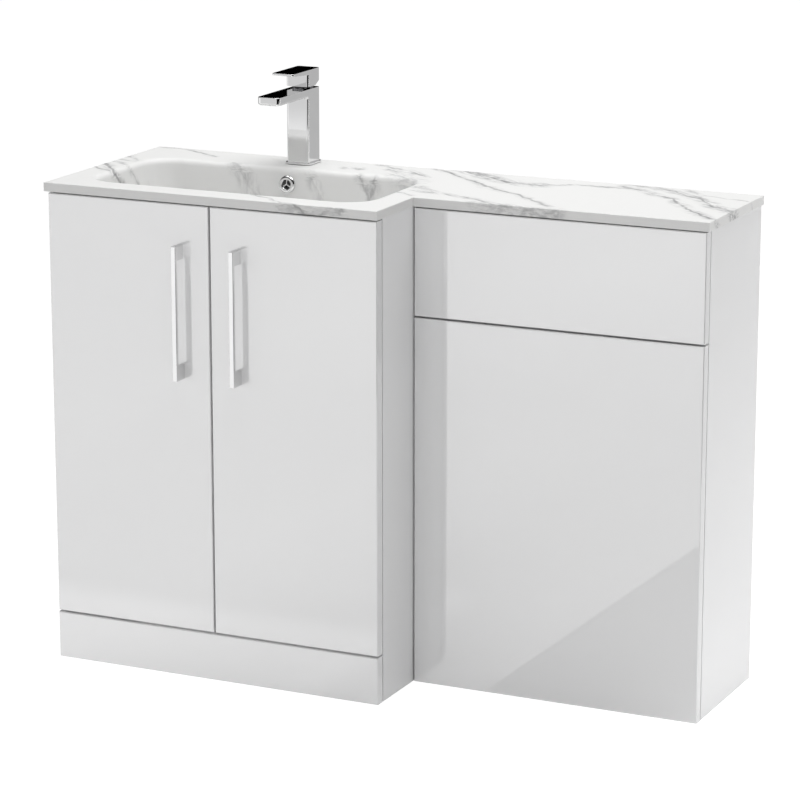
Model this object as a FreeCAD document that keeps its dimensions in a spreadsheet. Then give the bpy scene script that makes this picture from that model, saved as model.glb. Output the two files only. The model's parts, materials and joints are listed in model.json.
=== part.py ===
import FreeCAD, Part
import os
import re

import Sketcher

Vector = FreeCAD.Vector

# Driving sizes in millimetres and degrees. Lengths across run from the worktop's left edge,
# lengths forward run from the wall plane, heights run from the floor.
SIZES = {
    # Worktop
    "worktop_width": 1102,
    "worktop_thickness": 15,
    "worktop_edge_round": 1.5,
    "basin_width": 602,
    "basin_depth": 386,
    "wc_depth": 252,
    # Bowl, measured at the flat round its rim
    "left_land": 39.5,
    "right_land": 39.5,
    "front_land": 43,
    "back_land": 90,
    "bowl_depth": 115,
    "bowl_corner": 60,
    "bowl_wall": 9,
    "bowl_floor_round": 40,
    "rim_round": 10,
    "wall_draft": 6,
    "overflow_drop": 27,
    "overflow_bore": 11,
    "overflow_run": 12,
    "duct_width": 44,
    "duct_depth": 24,
    "duct_wall": 5,
    "floor_boss_radius": 37,
    "floor_boss_height": 14,
    # Carcasses
    "carcass_height": 795,
    "board_thickness": 16,
    "left_overhang": 8,
    "right_overhang": 4,
    "rail_height": 70,
    "back_rail_height": 100,
    "service_void": 60,
    "shelf_height": 380,
    "shelf_play": 0.5,
    "shelf_setback": 20,
    "shelf_pin_radius": 2.5,
    "shelf_pin_length": 17,
    "shelf_pin_depth": 9,
    "shelf_pin_inset": 40,
    "wall_screw_radius": 3,
    "wall_screw_inset": 60,
    "wall_screw_drop": 50,
    "bottom_rail_lift": 20,
    # Fronts
    "front_thickness": 18,
    "front_gap": 3,
    "front_edge_round": 1.8,
    "reveal": 3,
    "top_reveal": 2,
    "plinth_height": 79,
    "access_height": 176,
    "wc_panel_play": 2,
    "middle_rail_overlap": 18,
    # Handles
    "handle_length": 222,
    "handle_width": 8,
    "handle_bar": 6,
    "handle_projection": 26,
    "handle_post": 24,
    "handle_inset": 50.5,
    "handle_drop": 64,
    "handle_edge_round": 0.8,
    "handle_screw_radius": 2,
    "handle_screw_grip": 10,
    "screw_head_radius": 4,
    "screw_head_height": 2.5,
    # Brackets, clips, buffers and bolts
    "bracket_leg": 24,
    "bracket_width": 30,
    "bracket_sheet": 2,
    "bracket_hole_radius": 2.2,
    "buffer_radius": 4.5,
    "buffer_inset": 22,
    "buffer_play": 0.3,
    "clip_pin_radius": 4,
    "clip_pin_length": 11,
    "clip_plate_radius": 9,
    "clip_wall": 2,
    "clip_inset": 70,
    "clip_fit": 0.05,
    "clip_floor": 2,
    "bolt_radius": 3,
    "bolt_head_radius": 7,
    "bolt_head_height": 2,
    "bolt_inset": 55,
    # Tap
    "tap_width": 41,
    "tap_depth": 44,
    "tap_setback": 20.5,
    "tap_height": 128,
    "tap_edge_round": 4,
    "tap_top_round": 0.6,
    "tap_hole_radius": 17.5,
    "spout_thickness": 13.6,
    "spout_reach": 151,
    "spout_inner_round": 3,
    "spout_nose_round": 8,
    "base_plate_margin": 4.5,
    "base_plate_thickness": 2.5,
    "base_plate_round": 14,
    "seal_thickness": 1,
    "seal_margin": 3,
    "plate_bore": 16.5,
    "aerator_radius": 11,
    "aerator_inset": 18,
    "aerator_depth": 8,
    "aerator_lip": 1,
    "aerator_wall": 2,
    "inlet_radius": 4.5,
    "inlet_depth": 14,
    "inlet_spread": 9,
    "inlet_offset": 6,
    "stud_radius": 4,
    "stud_grip": 10,
    "stud_length": 82,
    "stud_offset": 9,
    "clamp_radius": 20.5,
    "clamp_mouth": 30,
    "clamp_thickness": 3,
    "nut_width": 13,
    "nut_height": 7,
    "lever_gap": 4,
    "lever_height": 28.2,
    "lever_reach": 97,
    "lever_tip": 3.5,
    "lever_root": 8,
    "lever_heel_length": 15,
    "lever_heel_height": 8,
    "lever_edge_round": 1,
    "lever_corner_round": 4,
    "lever_tip_round": 5.5,
    "dome_radius": 18,
    "dome_bore": 12,
    "dome_play": 0.4,
    "cartridge_radius": 14,
    "cartridge_length": 30,
    "rotor_radius": 9,
    "rotor_length": 10,
    "stem_swing": 6.5,
    "stem_width": 9,
    "stem_depth": 8,
    "stem_length": 25,
    "stem_tail": 4.5,
    "fork_sheet": 2.5,
    "fork_play": 0.3,
    "pivot_pin_radius": 1.5,
    # Waste
    "waste_hole_radius": 22.5,
    "waste_tail_radius": 20.95,
    "waste_bore": 17,
    "waste_length": 85,
    "tail_free": 46,
    "tail_groove": 3,
    "tail_groove_depth": 0.8,
    "waste_flange_radius": 32,
    "waste_flange": 3,
    "washer_thickness": 3,
    "waste_nut_radius": 31,
    "waste_nut_height": 9,
    "plug_radius": 29,
    "plug_height": 5,
    "plug_dome_round": 3,
    "plug_stem_radius": 4,
    "plug_stem_length": 55,
    "guide_drop": 40,
    "guide_height": 8,
    "guide_hub_radius": 7,
    "guide_web": 3,
    # Overflow trim
    "trim_radius": 15,
    "trim_height": 5,
    "trim_round": 4.4,
    "trim_collar": 8,
    "trim_collar_wall": 2,
    "trim_mouth_radius": 7.6,
    "trim_mouth_round": 2,
    "trim_spoke_width": 1.9,
    "trim_spoke_height": 3.2,
    "trim_spoke_root": 1,
    "slot_width": 12,
    # Concealed hinges, measured inwards from the carcass side and forwards from the door's back
    "hinge_inset": 100,
    "hinge_pin_radius": 1.3,
    "hinge_pin_half": 8.6,
    "hinge_boss_radius": 2.8,
    "hinge_boss_gap": 0.6,
    "pivot_inward": 6.8,
    "pivot_depth": 8.2,
    "eye_radius": 2.3,
    "eye_width": 5,
    "neck_start": 13,
    "neck_end": 25,
    "neck_depth": 9,
    "arm_height": 31,
    "arm_drop": 3,
    "arm_nose": 20,
    "arm_length": 60,
    "arm_width": 10,
    "arm_sheet": 1.6,
    "plate_setback": 40,
    "plate_sheet": 2,
    "wing_depth": 14,
    "wing_span": 52,
    "cup_radius": 17.5,
    "cup_edge": 3,
    "cup_depth": 12,
    "cup_wall": 1,
    "lug_width": 12,
    "lug_span": 58,
    # Shares of heights
    "bolt_low_share": 0.2,
    "bolt_high_share": 0.8,
    "bracket_hole_share": 0.75,
    "bracket_low_share": 0.25,
    "bracket_middle_share": 0.55,
    "bracket_high_share": 0.85,
    # Shared clearances
    "seat": 0.05,
    "running_fit": 0.05,
    "overrun": 1,
}

# Sizes and places that follow from the driving sizes.
DERIVED = {
    "middle_x": "worktop_width / 2",
    "middle_y": "(basin_depth + handle_projection) / 2",
    "worktop_top": "carcass_height + worktop_thickness",
    "vanity_width": "basin_width - left_overhang",
    "vanity_inner": "vanity_width - 2 * board_thickness",
    "vanity_left_inner": "left_overhang + board_thickness",
    "vanity_right_inner": "basin_width - board_thickness",
    "vanity_front": "-basin_depth + front_thickness + front_gap",
    "front_back": "-basin_depth + front_thickness",
    "door_bottom": "plinth_height + reveal",
    "door_top": "carcass_height - top_reveal",
    "door_width": "(vanity_width - reveal) / 2",
    "door_height": "door_top - door_bottom",
    "wc_left_inner": "basin_width + board_thickness",
    "wc_right": "worktop_width - right_overhang",
    "wc_inner": "wc_right - basin_width - 2 * board_thickness",
    "wc_front": "-wc_depth + front_thickness + front_gap",
    "wc_panel_back": "-wc_depth + front_thickness",
    "wc_panel_left": "basin_width + wc_panel_play",
    "wc_panel_width": "wc_right - wc_panel_left",
    "access_bottom": "door_top - access_height",
    "lower_panel_height": "access_bottom - reveal",
    "basin_axis": "(left_land + basin_width - right_land) / 2",
    "mouth_left": "left_land + rim_round",
    "mouth_right": "basin_width - right_land - rim_round",
    "mouth_front": "-basin_depth + front_land + rim_round",
    "mouth_back": "-back_land - rim_round",
    "bowl_middle": "(mouth_front + mouth_back) / 2",
    "bowl_floor": "worktop_top - bowl_depth",
    "bowl_underside": "bowl_floor - bowl_wall",
    "boss_underside": "bowl_underside - floor_boss_height",
    "overflow_height": "worktop_top - overflow_drop",
    "overflow_wall": "mouth_back - overflow_drop * tan(wall_draft)",
    "channel_low": "boss_underside + duct_wall",
    "plug_seat": "bowl_floor + waste_flange + buffer_play",
    "wall_screw_height": "carcass_height - wall_screw_drop",
    "tap_axis": "-tap_setback - tap_depth / 2",
    "stud_axis": "tap_axis + stud_offset",
    "inlet_axis": "tap_axis - inlet_offset",
    "rotor_top": "lever_foot - stem_swing",
    "tap_foot": "worktop_top + seal_thickness + base_plate_thickness",
    "tap_top": "worktop_top + tap_height",
    "lever_foot": "tap_top + lever_gap",
    "spout_underside": "tap_top - spout_thickness",
    "aerator_axis": "-tap_setback - spout_reach + aerator_inset",
}

doc = FreeCAD.newDocument("vanity_unit")
sheet = doc.addObject("Spreadsheet::Sheet", "sizes")
for row, (alias, size) in enumerate(SIZES.items(), start=1):
    sheet.set(f"A{row}", alias)
    sheet.set(f"B{row}", str(size))
    sheet.setAlias(f"B{row}", alias)
doc.recompute()

probe = doc.addObject("App::FeaturePython", "probe")
probe.addProperty("App::PropertyFloat", "reading")
nodes = []
NEAR = 1e-3


def formula(text):
    """Spell a sum of named sizes as an expression on the sheet."""
    def spell(match):
        word = match.group(0)
        if word in DERIVED:
            return "(" + formula(DERIVED[word]) + ")"
        if word in SIZES:
            return "sizes." + word
        return word
    return re.sub(r"[a-z_]+", spell, str(text))


def measure(text):
    """Read a sum of named sizes as a number."""
    probe.setExpression("reading", formula(text))
    probe.recompute()
    return probe.reading


def bind(thing, **sums):
    """Bind properties of an object to sums of named sizes."""
    for name, text in sums.items():
        thing.setExpression(name, formula(text))
    return thing


def place(thing, x, y, z):
    """Place an object by its distance from the left edge, the wall plane and the floor."""
    thing.setExpression("Placement.Base.x", formula(f"({x}) - middle_x"))
    thing.setExpression("Placement.Base.y", formula(f"({y}) + middle_y"))
    thing.setExpression("Placement.Base.z", formula(z))
    return thing


def block(name, x, y, z, length, width, height):
    """A box from its lowest corner."""
    box = doc.addObject("Part::Box", name)
    bind(box, Length=length, Width=width, Height=height)
    return place(box, x, y, z)


AXES = {
    "x": FreeCAD.Rotation(Vector(0, 1, 0), 90),
    "y": FreeCAD.Rotation(Vector(1, 0, 0), -90),
    "z": FreeCAD.Rotation(),
}


def rod(name, axis, x, y, z, radius, length):
    """A cylinder from the centre of its first end, along an axis."""
    cylinder = doc.addObject("Part::Cylinder", name)
    cylinder.Placement = FreeCAD.Placement(Vector(), AXES[axis])
    bind(cylinder, Radius=radius, Height=length)
    return place(cylinder, x, y, z)


def gather(name, things):
    """Separate solids held as one object."""
    compound = doc.addObject("Part::Compound", name)
    compound.Links = things
    return compound


def join(name, things):
    """Solids fused to one."""
    fusion = doc.addObject("Part::MultiFuse", name)
    fusion.Shapes = things
    return fusion


def cut(name, base, tools):
    """A solid with tools taken out of it."""
    difference = doc.addObject("Part::Cut", name)
    difference.Base = base
    difference.Tool = tools[0] if len(tools) == 1 else join(name + "_tools", tools)
    return difference


def shared(name, first, second):
    """The part that two solids share."""
    common = doc.addObject("Part::Common", name)
    common.Base = first
    common.Tool = second
    return common


def node(thing, label):
    """Name a finished sub-part."""
    thing.Label = label
    nodes.append(thing)
    return thing


def body_at(name, x, y, z):
    """An empty body at a place."""
    return place(doc.addObject("PartDesign::Body", name), x, y, z)


def sketch_on(body, name, role):
    """A sketch on one of a body's own planes."""
    sketch = body.newObject("Sketcher::SketchObject", name)
    plane = next(feature for feature in body.Origin.OriginFeatures if feature.Role == role)
    sketch.AttachmentSupport = [(plane, "")]
    sketch.MapMode = "FlatFace"
    return sketch


def fix_point(sketch, geometry, end, u, v):
    """Hold a sketch point at sums of named sizes from the sketch's origin."""
    for kind, text, axis in (("DistanceX", u, -2), ("DistanceY", v, -1)):
        if text == "0":
            sketch.addConstraint(Sketcher.Constraint("PointOnObject", geometry, end, axis))
        else:
            index = sketch.addConstraint(Sketcher.Constraint(kind, -1, 1, geometry, end, measure(text)))
            sketch.setExpression(f"Constraints[{index}]", formula(text))


def outline(sketch, points):
    """A closed outline of straight lines through points."""
    places = [Vector(measure(u), measure(v), 0) for u, v in points]
    for index, start in enumerate(places):
        sketch.addGeometry(Part.LineSegment(start, places[(index + 1) % len(places)]))
    for index, (u, v) in enumerate(points):
        sketch.addConstraint(Sketcher.Constraint("Coincident", index, 2, (index + 1) % len(points), 1))
        fix_point(sketch, index, 1, u, v)


def rectangle(sketch, left, low, right, high):
    """A rectangle between two corners."""
    outline(sketch, [(left, low), (right, low), (right, high), (left, high)])


def circles(sketch, centres, radius):
    """Circles of one radius."""
    first = sketch.GeometryCount
    for offset, (u, v) in enumerate(centres):
        centre = Vector(measure(u), measure(v), 0)
        sketch.addGeometry(Part.Circle(centre, Vector(0, 0, 1), measure(radius)))
        fix_point(sketch, first + offset, 3, u, v)
        index = sketch.addConstraint(Sketcher.Constraint("Radius", first + offset, measure(radius)))
        sketch.setExpression(f"Constraints[{index}]", formula(radius))


def extrude(body, kind, name, sketch, length, reverse=False, taper=None):
    """A pad or pocket of a sketch."""
    feature = body.newObject("PartDesign::" + kind, name)
    feature.Profile = sketch
    feature.Reversed = reverse
    bind(feature, Length=length)
    if taper is not None:
        bind(feature, TaperAngle=taper)
    doc.recompute()
    return feature


def ease(body, name, radius, test):
    """Round the edges of a body that pass a test."""
    tip = body.Tip
    picked = [f"Edge{index}" for index, edge in enumerate(tip.Shape.Edges, start=1) if test(edge)]
    feature = body.newObject("PartDesign::Fillet", name)
    feature.Base = (tip, picked)
    bind(feature, Radius=radius)
    doc.recompute()
    return feature


def level(edge, axis, place_on_axis):
    """Whether an edge lies at one place on an axis, in its body's own frame."""
    box = edge.BoundBox
    low = {"x": box.XMin, "y": box.YMin, "z": box.ZMin}[axis]
    high = {"x": box.XMax, "y": box.YMax, "z": box.ZMax}[axis]
    return abs(low - place_on_axis) < NEAR and abs(high - place_on_axis) < NEAR


def on_side(edge, width):
    """Whether an edge lies on the left or right side of a body of a width."""
    return level(edge, "x", 0) or level(edge, "x", width)


# Worktop and bowl, cast in one piece
def basin_worktop():
    """The L-shaped worktop with its tapered bowl, overflow duct and holes."""
    body = body_at("worktop_casting", "0", "0", "carcass_height")
    slab_sketch = sketch_on(body, "slab_outline", "XY_Plane")
    corners = [("0", "0"), ("0", "-basin_depth"), ("basin_width", "-basin_depth")]
    corners += [("basin_width", "-wc_depth"), ("worktop_width", "-wc_depth"), ("worktop_width", "0")]
    outline(slab_sketch, corners)
    extrude(body, "Pad", "slab", slab_sketch, "worktop_thickness")
    top = measure("worktop_thickness")
    ease(body, "slab_edges", "worktop_edge_round", lambda edge: level(edge, "z", top))

    shell_sketch = sketch_on(body, "shell_outline", "XY_Plane")
    rectangle(shell_sketch, "mouth_left - bowl_wall", "mouth_front - bowl_wall",
              "mouth_right + bowl_wall", "mouth_back + bowl_wall")
    shell_depth = "bowl_depth + bowl_wall - worktop_thickness"
    extrude(body, "Pad", "bowl_shell", shell_sketch, shell_depth, True, "-wall_draft")
    bowl_sketch = sketch_on(body, "bowl_outline", "XY_Plane")
    bowl_sketch.setExpression("AttachmentOffset.Base.z", formula("worktop_thickness"))
    rectangle(bowl_sketch, "mouth_left", "mouth_front", "mouth_right", "mouth_back")
    extrude(body, "Pocket", "bowl", bowl_sketch, "bowl_depth", False, "-wall_draft")
    floor = measure("worktop_thickness - bowl_depth")
    ease(body, "bowl_corners", "bowl_corner - rim_round",
         lambda edge: abs(edge.BoundBox.ZMin - floor) < NEAR and edge.BoundBox.ZMax > top - NEAR)
    ease(body, "bowl_base", "bowl_floor_round", lambda edge: level(edge, "z", floor))
    shell_low = -measure(shell_depth)
    ease(body, "shell_corners", "bowl_corner - rim_round + bowl_wall",
         lambda edge: edge.BoundBox.ZMin < shell_low + NEAR and edge.BoundBox.ZMax > -NEAR)
    ease(body, "shell_base", "bowl_floor_round + bowl_wall", lambda edge: level(edge, "z", shell_low))
    left, right = measure("mouth_left") - NEAR, measure("mouth_right") + NEAR
    front = measure("mouth_front") - NEAR
    ease(body, "rim", "rim_round",
         lambda edge: level(edge, "z", top) and edge.BoundBox.XMin > left
         and edge.BoundBox.XMax < right and edge.BoundBox.YMin > front)

    duct_left = "basin_axis - duct_width / 2"
    boss_height = "floor_boss_height + bowl_wall / 2"
    duct = block("overflow_duct", duct_left, "mouth_back", "boss_underside",
                 "duct_width", "duct_depth", "carcass_height - boss_underside")
    boss = rod("waste_boss", "z", "basin_axis", "bowl_middle", "boss_underside",
               "floor_boss_radius", boss_height)
    run = block("floor_duct", duct_left, "bowl_middle", "boss_underside",
                "duct_width", "mouth_back + duct_depth - bowl_middle", boss_height)
    casting = join("worktop_and_ducts", [body, duct, boss, run])

    channel_left = "basin_axis - duct_width / 2 + duct_wall"
    channel_width = "duct_width - 2 * duct_wall"
    drop = block("overflow_channel", channel_left, "mouth_back + duct_wall", "channel_low", channel_width,
                 "duct_depth - 2 * duct_wall", "overflow_height + overflow_bore - channel_low")
    drain = block("floor_channel", channel_left, "bowl_middle", "channel_low", channel_width,
                  "mouth_back + duct_depth - duct_wall - bowl_middle", "floor_boss_height - duct_wall")
    waste_hole = rod("waste_hole", "z", "basin_axis", "bowl_middle", "boss_underside - overrun",
                     "waste_hole_radius", "bowl_floor - boss_underside + 2 * overrun")
    tap_hole = rod("tap_hole", "z", "basin_axis", "tap_axis", "carcass_height - overrun",
                   "tap_hole_radius", "worktop_thickness + 2 * overrun")
    bore = rod("overflow_hole", "y", "basin_axis", "overflow_wall - overrun * cos(wall_draft)",
               "overflow_height + overrun * sin(wall_draft)", "overflow_bore", "overrun + overflow_run")
    tilt(bore, "-90 - wall_draft")
    node(cut("worktop_drilled", casting, [drop, drain, waste_hole, tap_hole, bore]), "basin_worktop")


def tilt(thing, angle):
    """Turn an object about the line across the unit."""
    base = thing.Placement.Base
    thing.Placement = FreeCAD.Placement(base, FreeCAD.Rotation(Vector(1, 0, 0), measure(angle)))
    thing.setExpression("Placement.Rotation.Angle", formula(angle))


def overflow_trim():
    """A rounded ring with a three-spoke grille and a collar in the bowl's back wall."""
    body = body_at("overflow_ring", "basin_axis", "overflow_wall - seat", "overflow_height")
    tilt(body, "90 - wall_draft")
    face = sketch_on(body, "trim_face", "XY_Plane")
    circles(face, [("0", "0")], "trim_radius")
    extrude(body, "Pad", "trim_disc", face, "trim_height")
    top = measure("trim_height")
    ease(body, "trim_edge", "trim_round", lambda edge: level(edge, "z", top))
    collar = sketch_on(body, "trim_collar_ring", "XY_Plane")
    circles(collar, [("0", "0")], "overflow_bore - seat")
    extrude(body, "Pad", "trim_collar_tube", collar, "trim_collar", True)
    bore = sketch_on(body, "trim_collar_bore", "XY_Plane")
    circles(bore, [("0", "0")], "overflow_bore - seat - trim_collar_wall")
    extrude(body, "Pocket", "trim_hollow", bore, "trim_collar + overrun", False)
    mouth = sketch_on(body, "trim_mouth_ring", "XY_Plane")
    circles(mouth, [("0", "0")], "trim_mouth_radius")
    extrude(body, "Pocket", "trim_mouth", mouth, "trim_height + overrun", True)
    across = 2 * measure("trim_mouth_radius")
    ease(body, "trim_lip", "trim_mouth_round",
         lambda edge: level(edge, "z", top) and edge.BoundBox.XLength < across + NEAR)
    spokes = sketch_on(body, "trim_spoke_star", "XY_Plane")
    star = []
    for turn in (90, 210, 330):
        tip = [f"(trim_mouth_radius + trim_spoke_root) * {wave}({turn})" for wave in ("cos", "sin")]
        for sign in ("+", "-"):
            opposite = "-" if sign == "+" else "+"
            star.append((f"{tip[0]} {sign} trim_spoke_width / 2 * sin({turn})",
                         f"{tip[1]} {opposite} trim_spoke_width / 2 * cos({turn})"))
        star.append((f"trim_spoke_width / sqrt(3) * cos({turn + 60})",
                     f"trim_spoke_width / sqrt(3) * sin({turn + 60})"))
    outline(spokes, star)
    extrude(body, "Pad", "trim_spokes", spokes, "trim_spoke_height")
    node(body, "overflow_trim")


def waste():
    """The flanged tail with its plug guide, the rising plug, the washer and the back nut."""
    body = body_at("waste_casting", "basin_axis", "bowl_middle", "bowl_floor")
    profile = sketch_on(body, "waste_profile", "XZ_Plane")
    groove_low = "-waste_length + tail_free"
    groove_radius = "waste_tail_radius - tail_groove_depth"
    outline(profile, [("waste_bore", "-waste_length"), ("waste_tail_radius", "-waste_length"),
                      ("waste_tail_radius", groove_low), (groove_radius, groove_low),
                      (groove_radius, f"{groove_low} + tail_groove"),
                      ("waste_tail_radius", f"{groove_low} + tail_groove"),
                      ("waste_tail_radius", "0"), ("waste_flange_radius", "0"),
                      ("waste_flange_radius", "waste_flange"), ("waste_bore", "waste_flange")])
    turned = body.newObject("PartDesign::Revolution", "waste_turned")
    turned.Profile = profile
    turned.ReferenceAxis = (profile, ["V_Axis"])
    doc.recompute()
    guide_low = "bowl_floor - guide_drop"
    hub = rod("guide_hub", "z", "basin_axis", "bowl_middle", guide_low, "guide_hub_radius", "guide_height")
    webs = []
    for turn in (0, 120, 240):
        web = block(f"guide_web_{turn}", f"basin_axis + guide_web / 2 * sin({turn})",
                    f"bowl_middle - guide_web / 2 * cos({turn})", guide_low,
                    "(waste_bore + waste_tail_radius) / 2", "guide_web", "guide_height")
        web.Placement = FreeCAD.Placement(web.Placement.Base, FreeCAD.Rotation(Vector(0, 0, 1), turn))
        webs.append(web)
    solid = join("waste_with_guide", [body, hub] + webs)
    stem_bore = rod("guide_bore", "z", "basin_axis", "bowl_middle", f"{guide_low} - overrun",
                    "plug_stem_radius + running_fit", "guide_height + 2 * overrun")
    slot = block("tail_slot", "basin_axis - slot_width / 2", "bowl_middle - waste_flange_radius",
                 "channel_low", "slot_width", "2 * waste_flange_radius", "floor_boss_height - duct_wall")
    node(cut("waste_drilled", solid, [stem_bore, slot]), "waste_body")

    cap = body_at("plug_cap", "basin_axis", "bowl_middle", "plug_seat")
    disc = sketch_on(cap, "plug_disc", "XY_Plane")
    circles(disc, [("0", "0")], "plug_radius")
    extrude(cap, "Pad", "plug_dome", disc, "plug_height")
    crown = measure("plug_height")
    ease(cap, "plug_crown", "plug_dome_round", lambda edge: level(edge, "z", crown))
    stem = rod("plug_stem", "z", "basin_axis", "bowl_middle", "plug_seat - plug_stem_length",
               "plug_stem_radius", "plug_stem_length + overrun")
    node(join("plug_and_stem", [cap, stem]), "waste_plug")

    washer_low = "boss_underside - washer_thickness"
    washer = rod("washer_disc", "z", "basin_axis", "bowl_middle", washer_low,
                 "waste_nut_radius", "washer_thickness")
    washer_bore = rod("washer_bore", "z", "basin_axis", "bowl_middle", f"{washer_low} - overrun",
                      "waste_tail_radius + seat", "washer_thickness + 2 * overrun")
    node(cut("washer_ring", washer, [washer_bore]), "waste_washer")
    nut_low = f"{washer_low} - waste_nut_height"
    hexagon = doc.addObject("Part::Prism", "waste_nut_hexagon")
    bind(hexagon, Circumradius="waste_nut_radius", Height="waste_nut_height")
    place(hexagon, "basin_axis", "bowl_middle", nut_low)
    nut_bore = rod("waste_nut_bore", "z", "basin_axis", "bowl_middle", f"{nut_low} - overrun",
                   "waste_tail_radius + seat", "waste_nut_height + 2 * overrun")
    node(cut("waste_nut_ring", hexagon, [nut_bore]), "waste_nut")


# Tap
def tap_fixings():
    """The seal and base plate on the worktop, and the stud, clamp plate and nut below it."""
    for label, low, height, margin in (("tap_seal", "worktop_top", "seal_thickness", "seal_margin"),
                                       ("tap_base_plate", "worktop_top + seal_thickness",
                                        "base_plate_thickness", "base_plate_margin")):
        body = body_at(label + "_plate", "basin_axis", "tap_axis", low)
        sketch = sketch_on(body, label + "_outline", "XY_Plane")
        rectangle(sketch, f"-tap_width / 2 - {margin}", f"-tap_depth / 2 - {margin}",
                  f"tap_width / 2 + {margin}", f"tap_depth / 2 + {margin}")
        extrude(body, "Pad", label + "_pad", sketch, height)
        thick = measure(height)
        ease(body, label + "_corners", "base_plate_round",
             lambda edge: edge.BoundBox.ZMin < NEAR and edge.BoundBox.ZMax > thick - NEAR)
        hole = sketch_on(body, label + "_hole", "XY_Plane")
        circles(hole, [("0", "0")], "plate_bore")
        extrude(body, "Pocket", label + "_bore", hole, height, True)
        node(body, label)

    stud = rod("stud_rod", "z", "basin_axis", "stud_axis", "tap_foot + stud_grip - stud_length",
               "stud_radius", "stud_length")
    node(stud, "tap_stud")
    clamp_low = "carcass_height - clamp_thickness"
    disc = rod("clamp_disc", "z", "basin_axis", "tap_axis", clamp_low, "clamp_radius", "clamp_thickness")
    mouth = block("clamp_mouth", "basin_axis - clamp_mouth / 2", "tap_axis - clamp_radius - overrun",
                  f"{clamp_low} - overrun", "clamp_mouth", "clamp_radius + overrun",
                  "clamp_thickness + 2 * overrun")
    clamp_bore = rod("clamp_bore", "z", "basin_axis", "stud_axis", f"{clamp_low} - overrun",
                     "stud_radius + seat", "clamp_thickness + 2 * overrun")
    node(cut("clamp_plate", disc, [mouth, clamp_bore]), "tap_clamp")
    nut_low = f"{clamp_low} - nut_height"
    hexagon = doc.addObject("Part::Prism", "stud_nut_hexagon")
    bind(hexagon, Circumradius="nut_width / 2 / cos(30)", Height="nut_height")
    place(hexagon, "basin_axis", "stud_axis", nut_low)
    nut_bore = rod("stud_nut_bore", "z", "basin_axis", "stud_axis", f"{nut_low} - overrun",
                   "stud_radius + seat", "nut_height + 2 * overrun")
    node(cut("stud_nut", hexagon, [nut_bore]), "tap_nut")


def tap_body():
    """The column and spout from one side profile, bored for the cartridge, inlets, stud and aerator."""
    body = body_at("tap_casting", "basin_axis - tap_width / 2", "0", "tap_foot")
    profile = sketch_on(body, "tap_profile", "YZ_Plane")
    column_front = "-tap_setback - tap_depth"
    spout_front = "-tap_setback - spout_reach"
    top = "tap_top - tap_foot"
    under = "spout_underside - tap_foot"
    outline(profile, [("-tap_setback", "0"), ("-tap_setback", top), (spout_front, top),
                      (spout_front, under), (column_front, under), (column_front, "0")])
    extrude(body, "Pad", "tap_pad", profile, "tap_width")
    nose, elbow_y, elbow_z = measure(spout_front), measure(column_front), measure(under)
    ease(body, "tap_elbow", "spout_inner_round",
         lambda edge: level(edge, "y", elbow_y) and level(edge, "z", elbow_z))
    wide, crown = measure("tap_width"), measure(top)
    ease(body, "tap_nose", "spout_nose_round", lambda edge: on_side(edge, wide) and level(edge, "y", nose))
    cheek = nose + measure("spout_nose_round")
    ease(body, "tap_edges", "tap_edge_round",
         lambda edge: not level(edge, "z", crown) and not level(edge, "z", 0)
         and not level(edge, "y", cheek)
         and (on_side(edge, wide) or (level(edge, "y", nose) and level(edge, "z", elbow_z))))
    ease(body, "tap_rim", "tap_top_round", lambda edge: level(edge, "z", crown))
    bore = rod("cartridge_bore", "z", "basin_axis", "tap_axis", "tap_top - cartridge_length",
               "cartridge_radius + seat", "cartridge_length + overrun")
    aerator = rod("aerator_bore", "z", "basin_axis", "aerator_axis", "spout_underside - overrun",
                  "aerator_radius + seat", "aerator_depth + overrun")
    stud = rod("stud_hole", "z", "basin_axis", "stud_axis", "tap_foot - overrun",
               "stud_radius + seat", "stud_grip + seat + overrun")
    inlets = [rod(f"inlet_{side}", "z", f"basin_axis {sign} inlet_spread", "inlet_axis",
                  "tap_foot - overrun", "inlet_radius", "inlet_depth + overrun")
              for side, sign in (("hot", "-"), ("cold", "+"))]
    node(cut("tap_bored", body, [bore, aerator, stud] + inlets), "tap_body")

    ring = rod("aerator_ring", "z", "basin_axis", "aerator_axis", "spout_underside - aerator_lip",
               "aerator_radius", "aerator_depth + aerator_lip - seat")
    mouth = rod("aerator_mouth", "z", "basin_axis", "aerator_axis",
                "spout_underside - aerator_lip - overrun", "aerator_radius - aerator_wall",
                "aerator_lip + overrun + aerator_wall")
    node(cut("aerator_turned", ring, [mouth]), "tap_aerator")


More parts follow.
